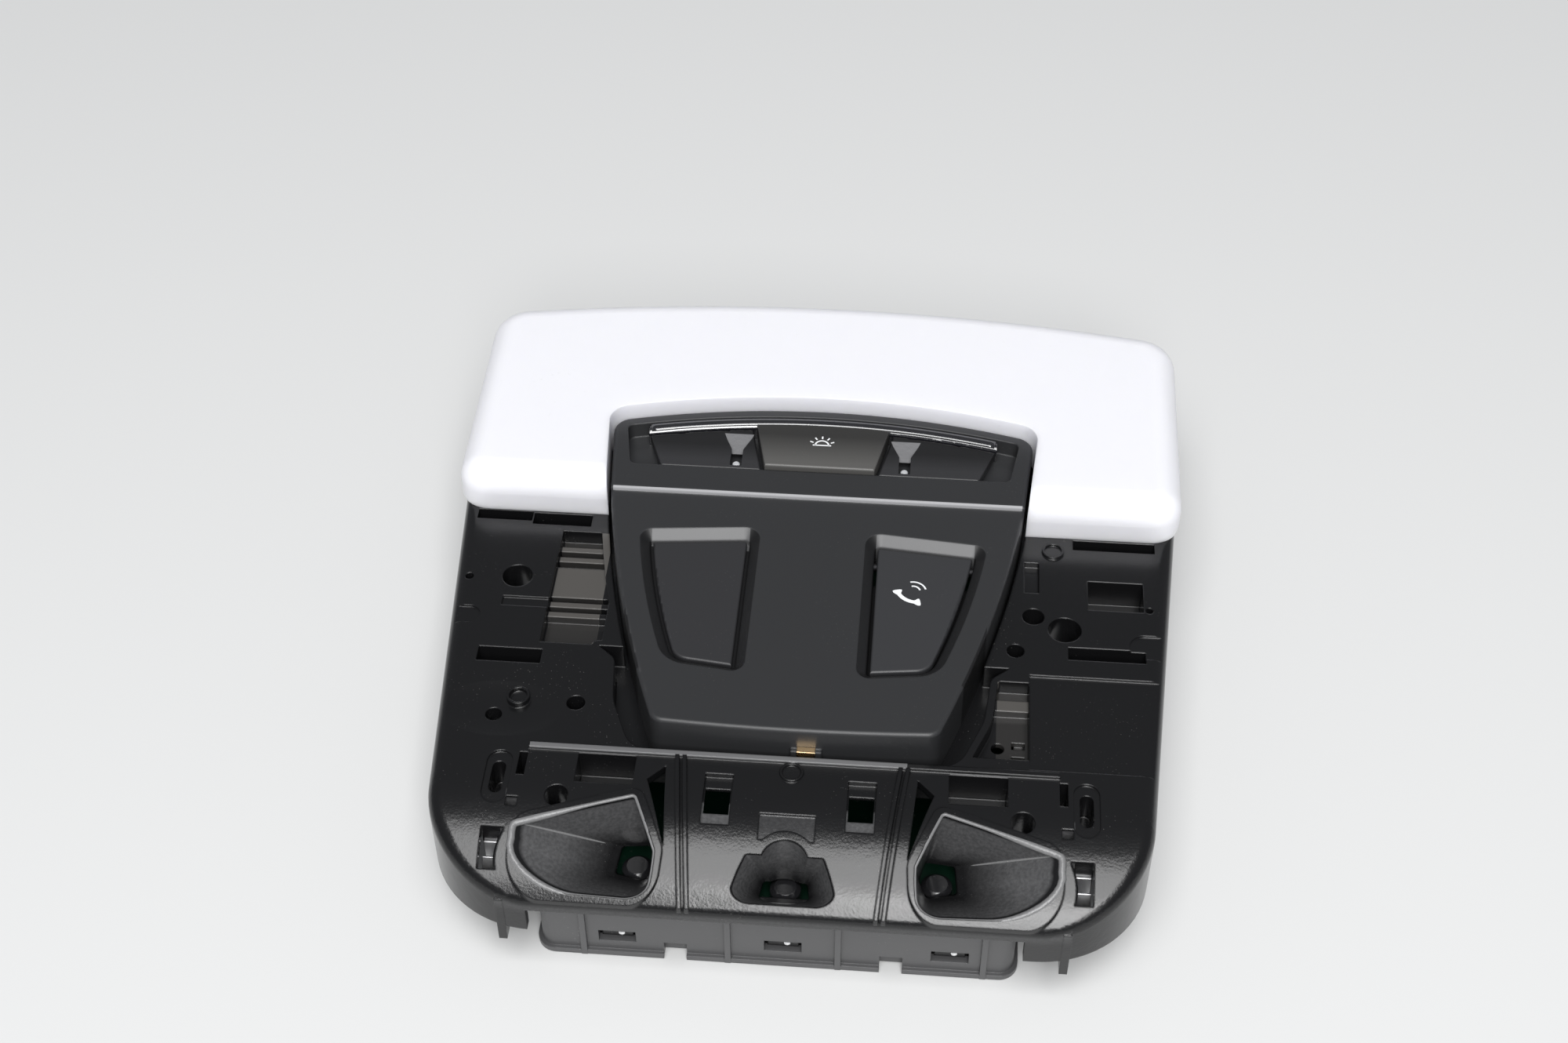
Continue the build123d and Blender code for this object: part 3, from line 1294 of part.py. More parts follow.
with BuildPart() as rear_housing:
    with BuildSketch():
        add(housing_plan.sketch)
    extrude(amount=housing_top)
    with BuildSketch(Plane.XY.offset(housing_floor)):
        add(grown(housing_plan.sketch, -housing_wall))
    extrude(amount=housing_top, mode=Mode.SUBTRACT)
    with BuildSketch():
        add(grown(housing_plan.sketch, housing_flange))
        add(housing_plan.sketch, mode=Mode.SUBTRACT)
    extrude(amount=housing_flange_height)
    # Low walls below the nose, and a gate for the lamp board's tongue
    with BuildSketch(Plane.XY.offset(housing_front_top)):
        with Locations((0, nose_start - half_span)):
            Rectangle(2 * half_span, 2 * half_span)
    extrude(amount=housing_top, mode=Mode.SUBTRACT)
    with BuildSketch(Plane.XY.offset(housing_back_top)):
        with Locations((dome_tongue_x, housing_back)):
            Rectangle(dome_tongue_width + 2 * tray_gap, 4 * housing_wall)
    extrude(amount=housing_top, mode=Mode.SUBTRACT)
    # Posts under the main board
    post_x = (board_right - board_left) / 2 - housing_post_radius
    post_y = (main_board_back - main_board_front) / 2 - housing_post_radius
    with BuildSketch():
        with Locations(board_centre):
            with GridLocations(2 * post_x, 2 * post_y, 2, 2):
                Circle(housing_post_radius)
    extrude(amount=main_board_bottom)
    # Ribs, snap windows and foot notches of the front wall
    with BuildSketch():
        with Locations(*[(x, housing_front - wall_rib_depth / 2) for x in wall_rib_places]):
            Rectangle(wall_rib_width, wall_rib_depth)
    extrude(amount=housing_front_top)
    with BuildSketch(Plane.XY.offset(snap_bottom - snap_window_margin)):
        with Locations(*[(x, housing_front + housing_wall / 2) for x in snap_places]):
            Rectangle(snap_width + 2 * snap_window_margin, housing_wall)
    extrude(amount=snap_nub_height + 2 * snap_window_margin, mode=Mode.SUBTRACT)
    with BuildSketch():
        with Locations((-foot_notch_x, housing_front), (foot_notch_x, housing_front)):
            Rectangle(foot_notch_width, 2 * housing_wall)
    extrude(amount=foot_notch_height, mode=Mode.SUBTRACT)
    # Gate for the connector
    with BuildSketch(Plane.XY.offset(housing_floor)):
        with Locations((housing_left + housing_wall / 2, socket_y)):
            Rectangle(2 * housing_wall, socket_width + 2 * slide_gap)
    extrude(amount=main_board_bottom + slide_gap - housing_floor, mode=Mode.SUBTRACT)
rear_housing.part.label = "rear_housing"
export_step(rear_housing.part, "parts/rear_housing.step")

# Spring clips in the front corner windows

clip_back = corner_window[1] + corner_window[3] / 2 - roof_clip_strip / 2
for name, side in (("left_roof_clip", -1), ("right_roof_clip", 1)):
    with BuildPart() as roof_clip:
        clip_foot = skirt_bottom + 2 * roof_clip_strip
        with BuildSketch(Plane.YZ.offset(side * corner_window[0] - roof_clip_width / 2)):
            with BuildLine():
                FilletPolyline(
                    (clip_back, clip_foot + roof_clip_drop + roof_clip_wall),
                    (clip_back, clip_foot + roof_clip_wall),
                    (clip_back - roof_clip_bow / 2, clip_foot),
                    (clip_back - roof_clip_bow, clip_foot + roof_clip_drop / 2),
                    (clip_back - roof_clip_bow / 2, clip_foot + roof_clip_drop),
                    radius=roof_clip_strip,
                )
            trace(line_width=roof_clip_strip)
        extrude(amount=roof_clip_width)
    roof_clip.part.label = name
    export_step(roof_clip.part, f"parts/{name}.step")

with BuildPart() as bezel_clip:
    with BuildSketch(Plane.YZ.offset(tab_clip_x - brass_width / 2)):
        with BuildLine():
            Polyline(
                (bezel_foot - bezel_foot_bow, tab_clip_top),
                (tab_end, tab_clip_top),
                (tab_end, tab_clip_top - tab_clip_thickness),
                (tab_end - brass_strip, tab_clip_top - tab_clip_thickness),
                (tab_end - brass_strip, tab_clip_top + brass_strip),
                (bezel_foot - bezel_foot_bow, tab_clip_top + brass_strip),
                close=True,
            )
        make_face()
    extrude(amount=brass_width)
bezel_clip.part.label = "bezel_clip"
export_step(bezel_clip.part, "parts/bezel_clip.step")
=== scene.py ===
# %% [markdown]
# # Overhead car light, dressed for a photograph
#
# The solid model of a roof light unit is already made: a black carrier, an opal lens, a soft-touch
# bezel with keys, and the boards inside. This lesson gives each piece its finish, prints the two
# pictograms, adds a few slim details, and sets up floor, light and camera. Blender works in metres,
# and a name that ends in `_mm` or `_MM` holds millimetres.

# %% load the solid model
import json
import math

import bpy
import numpy as np
from mathutils import Matrix, Vector


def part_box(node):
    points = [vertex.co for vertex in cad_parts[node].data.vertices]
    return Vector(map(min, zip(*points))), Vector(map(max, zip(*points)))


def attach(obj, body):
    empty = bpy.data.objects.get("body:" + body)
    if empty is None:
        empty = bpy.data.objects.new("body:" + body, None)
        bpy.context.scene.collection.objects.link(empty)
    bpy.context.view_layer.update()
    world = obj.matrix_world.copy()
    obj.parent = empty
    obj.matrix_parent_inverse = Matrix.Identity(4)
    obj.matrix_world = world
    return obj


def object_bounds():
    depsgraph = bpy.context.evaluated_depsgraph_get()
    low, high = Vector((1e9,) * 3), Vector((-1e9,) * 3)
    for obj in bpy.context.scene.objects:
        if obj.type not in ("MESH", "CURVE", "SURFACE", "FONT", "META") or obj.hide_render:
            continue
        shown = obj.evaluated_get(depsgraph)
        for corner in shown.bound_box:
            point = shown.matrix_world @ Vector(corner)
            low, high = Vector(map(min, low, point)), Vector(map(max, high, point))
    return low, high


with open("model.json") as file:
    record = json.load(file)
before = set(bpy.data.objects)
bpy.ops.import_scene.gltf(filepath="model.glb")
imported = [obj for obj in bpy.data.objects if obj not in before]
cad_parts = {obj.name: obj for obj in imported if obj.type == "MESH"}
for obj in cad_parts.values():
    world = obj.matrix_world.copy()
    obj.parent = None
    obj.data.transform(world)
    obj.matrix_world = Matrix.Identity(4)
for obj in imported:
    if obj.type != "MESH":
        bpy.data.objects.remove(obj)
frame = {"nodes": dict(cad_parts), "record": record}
cad_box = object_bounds()
nodes = frame["nodes"]
MM = 0.001
print("nodes:", len(nodes), "box:", cad_box)

# %% [markdown]
# ## Shared effects
#
# A moulded part is never perfectly even. Three effects come back on almost every piece, so each is
# made once as a node group and used in many materials. A group only hands out a mask, a value or a
# normal: the shader itself stays in each material, where it can be read. Images could hold these
# effects too, but noise stays sharp at every distance and the meshes need no unwrapping.


# %% helpers for nodes
def add_node(tree, kind, inputs, **settings):
    """One node with its properties set, and each input given a value or linked to a socket."""
    node = tree.nodes.new(kind)
    for key, value in settings.items():
        setattr(node, key, value)
    for key, value in inputs.items():
        if isinstance(value, bpy.types.NodeSocket):
            tree.links.new(value, node.inputs[key])
        else:
            node.inputs[key].default_value = value
    return node


def math_node(tree, operation, *values):
    """What one operation on numbers gives."""
    return add_node(tree, "ShaderNodeMath", dict(enumerate(values)), operation=operation).outputs[0]


def vector_node(tree, operation, *values):
    """What one operation on vectors gives, as a vector."""
    return add_node(tree, "ShaderNodeVectorMath", dict(enumerate(values)), operation=operation).outputs[0]


def map_range(tree, value, start, end, low=0.0, high=1.0):
    """A value that goes from low to high while the input goes from start to end, and stops there."""
    limits = {"From Min": start, "From Max": end, "To Min": low, "To Max": high}
    return add_node(tree, "ShaderNodeMapRange", {"Value": value, **limits}).outputs[0]


def noise(tree, place, scale, detail):
    """Smooth noise between nought and one."""
    values = {"Vector": place, "Scale": scale, "Detail": detail}
    return add_node(tree, "ShaderNodeTexNoise", values).outputs["Fac"]


def object_place(tree):
    """Where a point of the surface lies in the shared frame."""
    return add_node(tree, "ShaderNodeTexCoord", {}).outputs["Object"]


def mix_colour(tree, share, first, second):
    """The first colour, turned into the second by a share."""
    return add_node(tree, "ShaderNodeMix", {0: share, 6: first, 7: second}, data_type="RGBA").outputs[2]


def new_group(name, inputs, output, kind):
    """An empty node group with its number inputs and one output, and the nodes at its two ends."""
    group = bpy.data.node_groups.new(name, "ShaderNodeTree")
    for label in inputs:
        group.interface.new_socket(label, in_out="INPUT", socket_type="NodeSocketFloat")
    group.interface.new_socket(output, in_out="OUTPUT", socket_type=kind)
    return group, group.nodes.new("NodeGroupInput"), group.nodes.new("NodeGroupOutput")


print("helpers make nodes for sums, ranges, noise, places, colours and groups")

# %% [markdown]
# ### Grain
#
# Grain is the fine texture that is etched into a mould. It lies over edges that are a little rounded,
# so that they catch the light. Bevelled meshes would round them as well, but the solids must stay as
# they are, so the Bevel node turns only the normal.

# %% grain
COARSE_SHARE = 0.23
BUMP_HEIGHT_MM = 0.1
EDGE_SAMPLES = 6


def make_grain():
    """Two sizes of noise, added and bumped over the normal of edges rounded by the radius Edge."""
    group, start, end = new_group("grain", ("Scale", "Amount", "Edge"), "Normal", "NodeSocketVector")
    place = object_place(group)
    fine = noise(group, place, start.outputs["Scale"], detail=3.0)
    coarse_scale = math_node(group, "MULTIPLY", start.outputs["Scale"], COARSE_SHARE)
    coarse = noise(group, place, coarse_scale, detail=2.0)
    rounded = add_node(group, "ShaderNodeBevel", {"Radius": start.outputs["Edge"]}, samples=EDGE_SAMPLES)
    values = {
        "Strength": start.outputs["Amount"],
        "Distance": BUMP_HEIGHT_MM * MM,
        "Height": math_node(group, "ADD", fine, coarse),
        "Normal": rounded.outputs["Normal"],
    }
    bump = add_node(group, "ShaderNodeBump", values)
    group.links.new(bump.outputs["Normal"], end.inputs["Normal"])
    return group


grain_group = make_grain()
print("grain:", len(grain_group.nodes), "nodes")

# %% [markdown]
# ### Flow and dust
#
# Flow is the slow change of gloss where plastic ran and cooled. Dust is the light specks that a
# handled part collects. Specks could be scattered as tiny meshes, but a mask of dots costs no faces.

# %% flow and dust
FLOW_STRETCH = (1.0, 0.35, 1.0)
SPECK_EDGE = (0.16, 0.08)
PATCH_SCALE = 90.0
PATCH_LEVELS = (0.52, 0.72)


def make_flow():
    """Slow noise, stretched along the depth of the part, as a value about zero times Amount."""
    group, start, end = new_group("flow", ("Scale", "Amount"), "Value", "NodeSocketFloat")
    stretched = add_node(group, "ShaderNodeMapping", {"Vector": object_place(group), "Scale": FLOW_STRETCH})
    slow = noise(group, stretched.outputs[0], start.outputs["Scale"], detail=4.0)
    centred = math_node(group, "SUBTRACT", slow, 0.5)
    scaled = math_node(group, "MULTIPLY", centred, start.outputs["Amount"])
    group.links.new(scaled, end.inputs["Value"])
    return group


def make_dust():
    """Small dots around cell centres, kept only where a slow noise is high, times Amount."""
    group, start, end = new_group("dust", ("Scale", "Amount"), "Mask", "NodeSocketFloat")
    place = object_place(group)
    cells = add_node(group, "ShaderNodeTexVoronoi", {"Vector": place, "Scale": start.outputs["Scale"]})
    dots = map_range(group, cells.outputs["Distance"], *SPECK_EDGE)
    patches = map_range(group, noise(group, place, PATCH_SCALE, detail=5.0), *PATCH_LEVELS)
    kept = math_node(group, "MULTIPLY", dots, patches)
    mask = math_node(group, "MULTIPLY", kept, start.outputs["Amount"])
    group.links.new(mask, end.inputs["Mask"])
    return group


flow_group = make_flow()
dust_group = make_dust()
print("groups:", [group.name for group in bpy.data.node_groups])

# %% [markdown]
# ## Plastics
#
# Most pieces are injection-moulded plastic, and they differ in colour, gloss, grain and dust. Each
# could have a material of its own making, but one function that takes those few values keeps them
# alike: the colour turns paler where dust lies, the flow changes the gloss a little from place to
# place, and the grain bumps the surface.

# %% a plastic material
DUST_COLOUR = (0.42, 0.41, 0.39, 1.0)


def use_group(tree, group, scale, amount, **more):
    """The output of one shared effect, placed in a material with its own values."""
    values = {"Scale": scale, "Amount": amount, **more}
    return add_node(tree, "ShaderNodeGroup", values, node_tree=group).outputs[0]


def plastic(
    name, colour, roughness, grain=(2600.0, 0.12), flow=(28.0, 0.10), dust=(1100.0, 0.3), edge_mm=0.25
):
    """A moulded plastic: base colour, mean roughness, (scale, amount) of each effect, edge radius."""
    material = bpy.data.materials.new(name)
    material.use_nodes = True
    tree = material.node_tree
    shader = tree.nodes["Principled BSDF"]
    dusty = mix_colour(tree, use_group(tree, dust_group, *dust), (*colour, 1.0), DUST_COLOUR)
    gloss = math_node(tree, "ADD", use_group(tree, flow_group, *flow), roughness)
    etched = use_group(tree, grain_group, *grain, Edge=edge_mm * MM)
    tree.links.new(dusty, shader.inputs["Base Color"])
    tree.links.new(gloss, shader.inputs["Roughness"])
    tree.links.new(etched, shader.inputs["Normal"])
    return material


print("effects in a plastic:", dust_group.name, flow_group.name, grain_group.name)

# %% the plastics of this part
HANDLED = (1300.0, 0.1)
SATIN = (4200.0, 0.08)
PLASTICS = {
    "carrier_plastic": dict(
        colour=(0.006, 0.006, 0.0065), roughness=0.22, grain=(2100.0, 0.10), dust=(1300.0, 0.2), edge_mm=0.5
    ),
    "housing_plastic": dict(colour=(0.075, 0.075, 0.077), roughness=0.34, edge_mm=0.3),
    "bezel_soft": dict(
        colour=(0.024, 0.0245, 0.026), roughness=0.42, grain=(4200.0, 0.10), dust=HANDLED, edge_mm=0.6
    ),
    "trim_gloss": dict(
        colour=(0.008, 0.008, 0.010), roughness=0.08, grain=(900.0, 0.02), dust=HANDLED, edge_mm=0.4
    ),
    "side_key_grey": dict(colour=(0.026, 0.026, 0.028), roughness=0.42, grain=(3600.0, 0.10), dust=HANDLED),
    "dome_key_grey": dict(colour=(0.090, 0.088, 0.084), roughness=0.42, grain=(3600.0, 0.14), dust=HANDLED),
    "switch_plastic": dict(colour=(0.03, 0.03, 0.03), roughness=0.45),
    "window_smoke": dict(
        colour=(0.025, 0.025, 0.027), roughness=0.40, grain=SATIN, dust=HANDLED, edge_mm=0.3
    ),
    "flap_grey": dict(
        colour=(0.031, 0.0315, 0.034), roughness=0.42, grain=SATIN, dust=HANDLED, edge_mm=0.3
    ),
    "call_red": dict(colour=(0.42, 0.025, 0.02), roughness=0.40),
    "reflector_white": dict(colour=(0.78, 0.78, 0.77), roughness=0.45),
    "connector_plastic": dict(colour=(0.02, 0.02, 0.021), roughness=0.45),
    "led_white": dict(colour=(0.80, 0.76, 0.58), roughness=0.25),
    # nearly black rather than green: painted shade of the board deep under the carrier
    "board_green": dict(colour=(0.001, 0.012, 0.006), roughness=0.35, dust=(500.0, 0.2)),
}
looks = {name: plastic(name, **values) for name, values in PLASTICS.items()}
print("plastics:", sorted(looks))

# %% [markdown]
# ## Opal lens, clear pieces and gloss trim
#
# The diffuser is milky acrylic: light goes in, scatters and comes out nearby, so its shadows are
# soft and a little blue. A plain white would look like chalk, and real volume scattering takes long
# to render, so subsurface scattering does it. The surface is smooth with a faint orange-peel, and
# slightly less glossy than clear plastic. The trim mirrors more than plastic does, as if it were
# plated, so it gets a higher index of refraction.

# %% the lens, the clear pieces and the trim
ACRYLIC_IOR, TRIM_IOR = 1.49, 2.1
SCATTER_MM = 4.0
SCATTER_COLOUR = (1.0, 1.0, 1.1)


def set_shader(material, values):
    """Numbers and colours that are the same all over a surface, set on the shader itself."""
    sockets = material.node_tree.nodes["Principled BSDF"].inputs
    for label, value in values.items():
        sockets[label].default_value = value


def clear_look(name, colour, roughness, subsurface, transmission):
    """A milky or clear plastic: scattering under the surface, or light let through, and soft waves."""
    material = plastic(name, colour, roughness, grain=(240.0, 0.03), flow=(20.0, 0.06), dust=(600.0, 0.12))
    scatter = {"Subsurface Radius": SCATTER_COLOUR, "Subsurface Scale": SCATTER_MM * MM}
    shares = {"Subsurface Weight": subsurface, "Transmission Weight": transmission}
    set_shader(material, {**scatter, **shares, "IOR": ACRYLIC_IOR})
    return material


looks["lens_opal"] = clear_look("lens_opal", (0.83, 0.83, 0.90), 0.30, subsurface=0.7, transmission=0.0)
looks["pipe_clear"] = clear_look("pipe_clear", (0.50, 0.51, 0.54), 0.25, subsurface=0.5, transmission=0.0)
# nearly black: painted shade of the optics deep in the throats of the tunnels
looks["optic_clear"] = clear_look("optic_clear", (0.02, 0.02, 0.022), 0.12, subsurface=0.0, transmission=0.5)
set_shader(looks["trim_gloss"], {"IOR": TRIM_IOR})
print("looks with clear pieces:", len(looks))

# %% [markdown]
# ## Metals
#
# The spring strips, the pins and the small clip are rolled metal. A metal is a plastic with Metallic
# set to one and a faster flow, which breaks its gloss into fine streaks as rolling does.


# %% metals
def metal(name, colour, roughness):
    """A metal whose gloss changes in fine streaks along the depth of the part."""
    material = plastic(name, colour, roughness, grain=(3000.0, 0.10), flow=(400.0, 0.25), dust=(900.0, 0.1))
    set_shader(material, {"Metallic": 1.0})
    return material


looks["clip_steel"] = metal("clip_steel", (0.62, 0.62, 0.63), 0.35)
looks["pin_brass"] = metal("pin_brass", (0.70, 0.58, 0.32), 0.30)
looks["clip_brass"] = metal("clip_brass", (0.72, 0.52, 0.30), 0.28)
print("looks with metals:", len(looks))

# %% [markdown]
# ## Grain, painted highlights and painted shade from place to place
#
# The nose of the carrier is etched more coarsely than the plate. Clip bars, ledge and step get painted
# highlights, the hollows of the nose a painted sheen and painted shade, and the keys are darker towards
# the lens. Such zones could be painted on an unwrapped mesh. Here each is worked out from where a point
# lies, so it keeps its place on the part from every side.


# %% helpers for zones
def parts_of(tree, vector):
    """The coordinates of a vector, by name."""
    return add_node(tree, "ShaderNodeSeparateXYZ", {"Vector": vector}).outputs


def lay_over(material, share, colour):
    """Another colour, laid over the base colour by a share."""
    tree = material.node_tree
    base = tree.nodes["Principled BSDF"].inputs["Base Color"]
    mixed = mix_colour(tree, share, base.links[0].from_socket, (*colour, 1.0))
    tree.links.new(mixed, base)


def grain_zone(material, start_mm, end_mm, faint, full):
    """Grain that grows from faint to full between two places along the depth of the part."""
    tree = material.node_tree
    effect = next(node for node in tree.nodes if node.type == "GROUP" and node.node_tree == grain_group)
    depth = parts_of(tree, object_place(tree))["Y"]
    amount = map_range(tree, depth, start_mm * MM, end_mm * MM, faint, full)
    tree.links.new(amount, effect.inputs["Amount"])


def fade(material, start_mm, end_mm, share):
    """A base colour that falls, between two places along the depth, to a share of itself."""
    tree = material.node_tree
    depth = parts_of(tree, object_place(tree))["Y"]
    darker = map_range(tree, depth, start_mm * MM, end_mm * MM, high=1.0 - share)
    lay_over(material, darker, (0.0, 0.0, 0.0))


def tinted_box(material, centre_mm, size_mm, levels_mm, rest, colour):
    """Another colour inside a box in plan, from a share rest at one height to all of it at another.

    A point is inside when the larger of |x - a| / (w / 2) and |y - b| / (h / 2) is less than one.
    """
    tree = material.node_tree
    middle = (centre_mm[0] * MM, centre_mm[1] * MM, 0.0)
    half = (size_mm[0] * MM / 2, size_mm[1] * MM / 2, 1.0)
    apart = vector_node(tree, "SUBTRACT", object_place(tree), middle)
    ratio = parts_of(tree, vector_node(tree, "DIVIDE", vector_node(tree, "ABSOLUTE", apart), half))
    inside = math_node(tree, "LESS_THAN", math_node(tree, "MAXIMUM", ratio["X"], ratio["Y"]), 1.0)
    level = map_range(tree, ratio["Z"], levels_mm[0] * MM, levels_mm[1] * MM, low=rest)
    lay_over(material, math_node(tree, "MULTIPLY", inside, level), colour)


print("zones: along the depth, or a box in plan")

# %% [markdown]
# ### Painted sheen and painted shade in the hollows of the nose
#
# The nose is a round shell, and its tunnels and hollows get a paler mottle, a painted sheen of the
# light on their etched grain, and painted shade deep in the throat. A point belongs to them when it
# lies nearer to the axis of the round than the skin does, so no face has to be picked.

# %% hollows of the nose
PLATE_TOP_MM, NOSE_START_MM, NOSE_RADIUS_MM, NOSE_ANGLE = 30.0, -73.0, 32.0, math.radians(46.0)
NOSE_AXIS = (0.0, NOSE_START_MM * MM, (PLATE_TOP_MM - NOSE_RADIUS_MM) * MM)
UNDER_SKIN_MM = (0.3, 0.8)
PAST_START_MM = (3.0, 3.6)
ABOVE_AXIS_MM = (19.0, 24.5)
HOLLOW_HALF_MM = 54.0
THROAT_SHADE_SHARE = 0.05
MOTTLE_SCALE, MOTTLE_LEVELS, MOTTLE_LOW = 1500.0, (0.36, 0.68), 0.65
# a pale grey for painted sheen and painted highlights
PAINTED_SHEEN_GREY = (0.085, 0.085, 0.087)


def paint_hollow_sheen_and_shade(material, colour):
    """A paler mottle, a painted sheen, on what lies inside the round of the nose: its tunnels and hollows.

    A point is inside when its distance from the axis of the nose is less than the nose radius. Deep
    down the colour falls back to black, as painted shade in the throat.
    """
    tree = material.node_tree
    place = object_place(tree)
    apart = vector_node(tree, "SUBTRACT", place, NOSE_AXIS)
    offset = parts_of(tree, apart)
    across = vector_node(tree, "MULTIPLY", apart, (0.0, 1.0, 1.0))
    reach = add_node(tree, "ShaderNodeVectorMath", {0: across}, operation="LENGTH").outputs["Value"]
    inside = map_range(tree, reach, *[(NOSE_RADIUS_MM - depth) * MM for depth in UNDER_SKIN_MM])
    past = map_range(tree, offset["Y"], *[-depth * MM for depth in PAST_START_MM])
    near = math_node(tree, "LESS_THAN", math_node(tree, "ABSOLUTE", offset["X"]), HOLLOW_HALF_MM * MM)
    shallow = map_range(tree, offset["Z"], *[level * MM for level in ABOVE_AXIS_MM], low=THROAT_SHADE_SHARE)
    spots = noise(tree, place, MOTTLE_SCALE, detail=5.0)
    share = map_range(tree, spots, *MOTTLE_LEVELS, low=MOTTLE_LOW)
    for factor in (inside, past, near, shallow):
        share = math_node(tree, "MULTIPLY", share, factor)
    lay_over(material, share, colour)


grain_zone(looks["carrier_plastic"], -66.0, -74.0, faint=0.06, full=0.32)
# painted sheen: a paler mottle in the tunnels and hollows; painted shade: black again deep in the throat
paint_hollow_sheen_and_shade(looks["carrier_plastic"], PAINTED_SHEEN_GREY)
print("nodes in the carrier's material:", len(looks["carrier_plastic"].node_tree.nodes))

# %% [markdown]
# ### Painted highlights on bars and steps, painted shade in the panels
#
# The bars of the clip beds and the ledge of the nose get painted highlights, and so does the step of
# the bezel under its keys. The recesses of the two panels get painted shade, darker than the bezel,
# apart from the slope at their upper end, which looks at the light and gets a painted highlight.

# %% boxes of painted highlight and painted shade
CLIP_BAR_MM, LEDGE_MM, STEP_MM, RECESS_MM = (28.1, 28.38), (30.2, 30.5), (36.02, 36.12), (35.98, 35.90)
BAR_HIGHLIGHT_GREY, LEDGE_HIGHLIGHT_GREY, STEP_HIGHLIGHT_GREY = (0.075, 0.071, 0.066), (0.13, 0.13, 0.133), (0.27, 0.27, 0.28)
RECESS_SHADE_BLACK = (0.006, 0.006, 0.0065)
BAR_REST = 0.25
PANEL_X_MM, PANEL_Y_MM, SLOPE_Y_MM = 23.5, -28.0, -10.4
PANEL_SIZE_MM, SLOPE_SIZE_MM = (26.0, 43.0), (20.5, 4.4)

carrier_look, bezel_look = looks["carrier_plastic"], looks["bezel_soft"]
# painted highlights: paler greys on the clip bars, the nose ledge and the bezel step
for centre_mm, size_mm in (((-48.0, -22.5), (10.6, 31.9)), ((42.2, -52.4), (6.2, 19.7))):
    tinted_box(carrier_look, centre_mm, size_mm, CLIP_BAR_MM, BAR_REST, BAR_HIGHLIGHT_GREY)
tinted_box(carrier_look, (-14.5, -66.1), (73.0, 1.4), LEDGE_MM, 0.0, LEDGE_HIGHLIGHT_GREY)
tinted_box(bezel_look, (0.0, 0.95), (87.0, 0.62), STEP_MM, 0.0, STEP_HIGHLIGHT_GREY)
# painted shade: black in the panel recesses; painted highlight: pale grey on their upper slopes
for centre_x in (-PANEL_X_MM, PANEL_X_MM):
    tinted_box(bezel_look, (centre_x, PANEL_Y_MM), PANEL_SIZE_MM, RECESS_MM, 0.0, RECESS_SHADE_BLACK)
for centre_x in (-PANEL_X_MM, PANEL_X_MM):
    tinted_box(bezel_look, (centre_x, SLOPE_Y_MM), SLOPE_SIZE_MM, RECESS_MM, 0.0, PAINTED_SHEEN_GREY)
fade(looks["dome_key_grey"], 10.5, 19.0, share=0.30)
fade(looks["side_key_grey"], 11.5, 16.5, share=0.30)
print("nodes in the bezel's material:", len(bezel_look.node_tree.nodes))

# %% [markdown]
# ## The solids get their looks
#
# The record names a material slot for every solid, so a loop can dress them all. Only the hinge pin
# differs from its slot: it is made almost black, as painted shade of the gap beside the flap, where it
# would otherwise shine.

# %% dress the solids
for entry in frame["record"]["subparts"]:
    mesh = nodes[entry["node"]].data
    mesh.materials.clear()
    mesh.materials.append(looks[entry["material_slot"]])
# painted shade: the pin is made almost black
nodes["flap_hinge_pin"].data.materials[0] = metal("painted_shade_steel", (0.03, 0.03, 0.032), 0.6)

# %% [markdown]
# ## Printed pictograms
#
# The dome key carries a half sun with rays, and the call flap a telephone handset with two signal
# arcs. Both are thin layers of white ink. Curve objects with a bevel would be round like wire, so each
# stroke is a flat ribbon: a cross-line is carried along a path, with a width that may change along
# it, and the layer lies a few hundredths of a millimetre above the surface that it is printed on.

# %% a stroke of ink
INK_LIFT_MM = 0.02


def stroke(path_mm, half_width_mm):
    """Points of a flat ribbon: each path point plus and minus its normal times its half width.

    The normal is the path's tangent (by central differences) turned a quarter to the left.
    """
    path = np.asarray(path_mm, dtype=float)
    half = np.broadcast_to(half_width_mm, len(path))
    tangent = np.gradient(path, axis=0)
    tangent /= np.linalg.norm(tangent, axis=1, keepdims=True)
    normal = np.stack([-tangent[:, 1], tangent[:, 0]], axis=1)
    return np.stack([path - normal * half[:, None], path + normal * half[:, None]], axis=1)


def arc(centre, radius, start_deg, end_deg, count=33):
    """Points on a circle's arc from one angle to another."""
    angle = np.radians(np.linspace(start_deg, end_deg, count))
    return np.stack([centre[0] + radius * np.cos(angle), centre[1] + radius * np.sin(angle)], axis=1)


ink = plastic("white_ink", (0.78, 0.79, 0.80), 0.55, grain=(5000.0, 0.15), dust=(1500.0, 0.0))
print("ink:", ink.name, "at", INK_LIFT_MM, "mm above its surface")


# %% from points to a piece
def new_piece(name, points, faces, smooth=False):
    """An object at the origin whose mesh has these points, in metres, and these faces."""
    mesh = bpy.data.meshes.new(name)
    mesh.from_pydata(points.tolist(), [], faces)
    if smooth:
        mesh.shade_smooth()
    piece = bpy.data.objects.new(name, mesh)
    bpy.context.scene.collection.objects.link(piece)
    return piece


def sheet_faces(rows, columns, first=0):
    """Four-sided faces between neighbours on a grid of points, which are counted from a first one."""
    index = first + np.arange(rows * columns).reshape(rows, columns)
    quads = np.stack([index[:-1, :-1], index[1:, :-1], index[1:, 1:], index[:-1, 1:]], axis=-1)
    return quads.reshape(-1, 4).tolist()


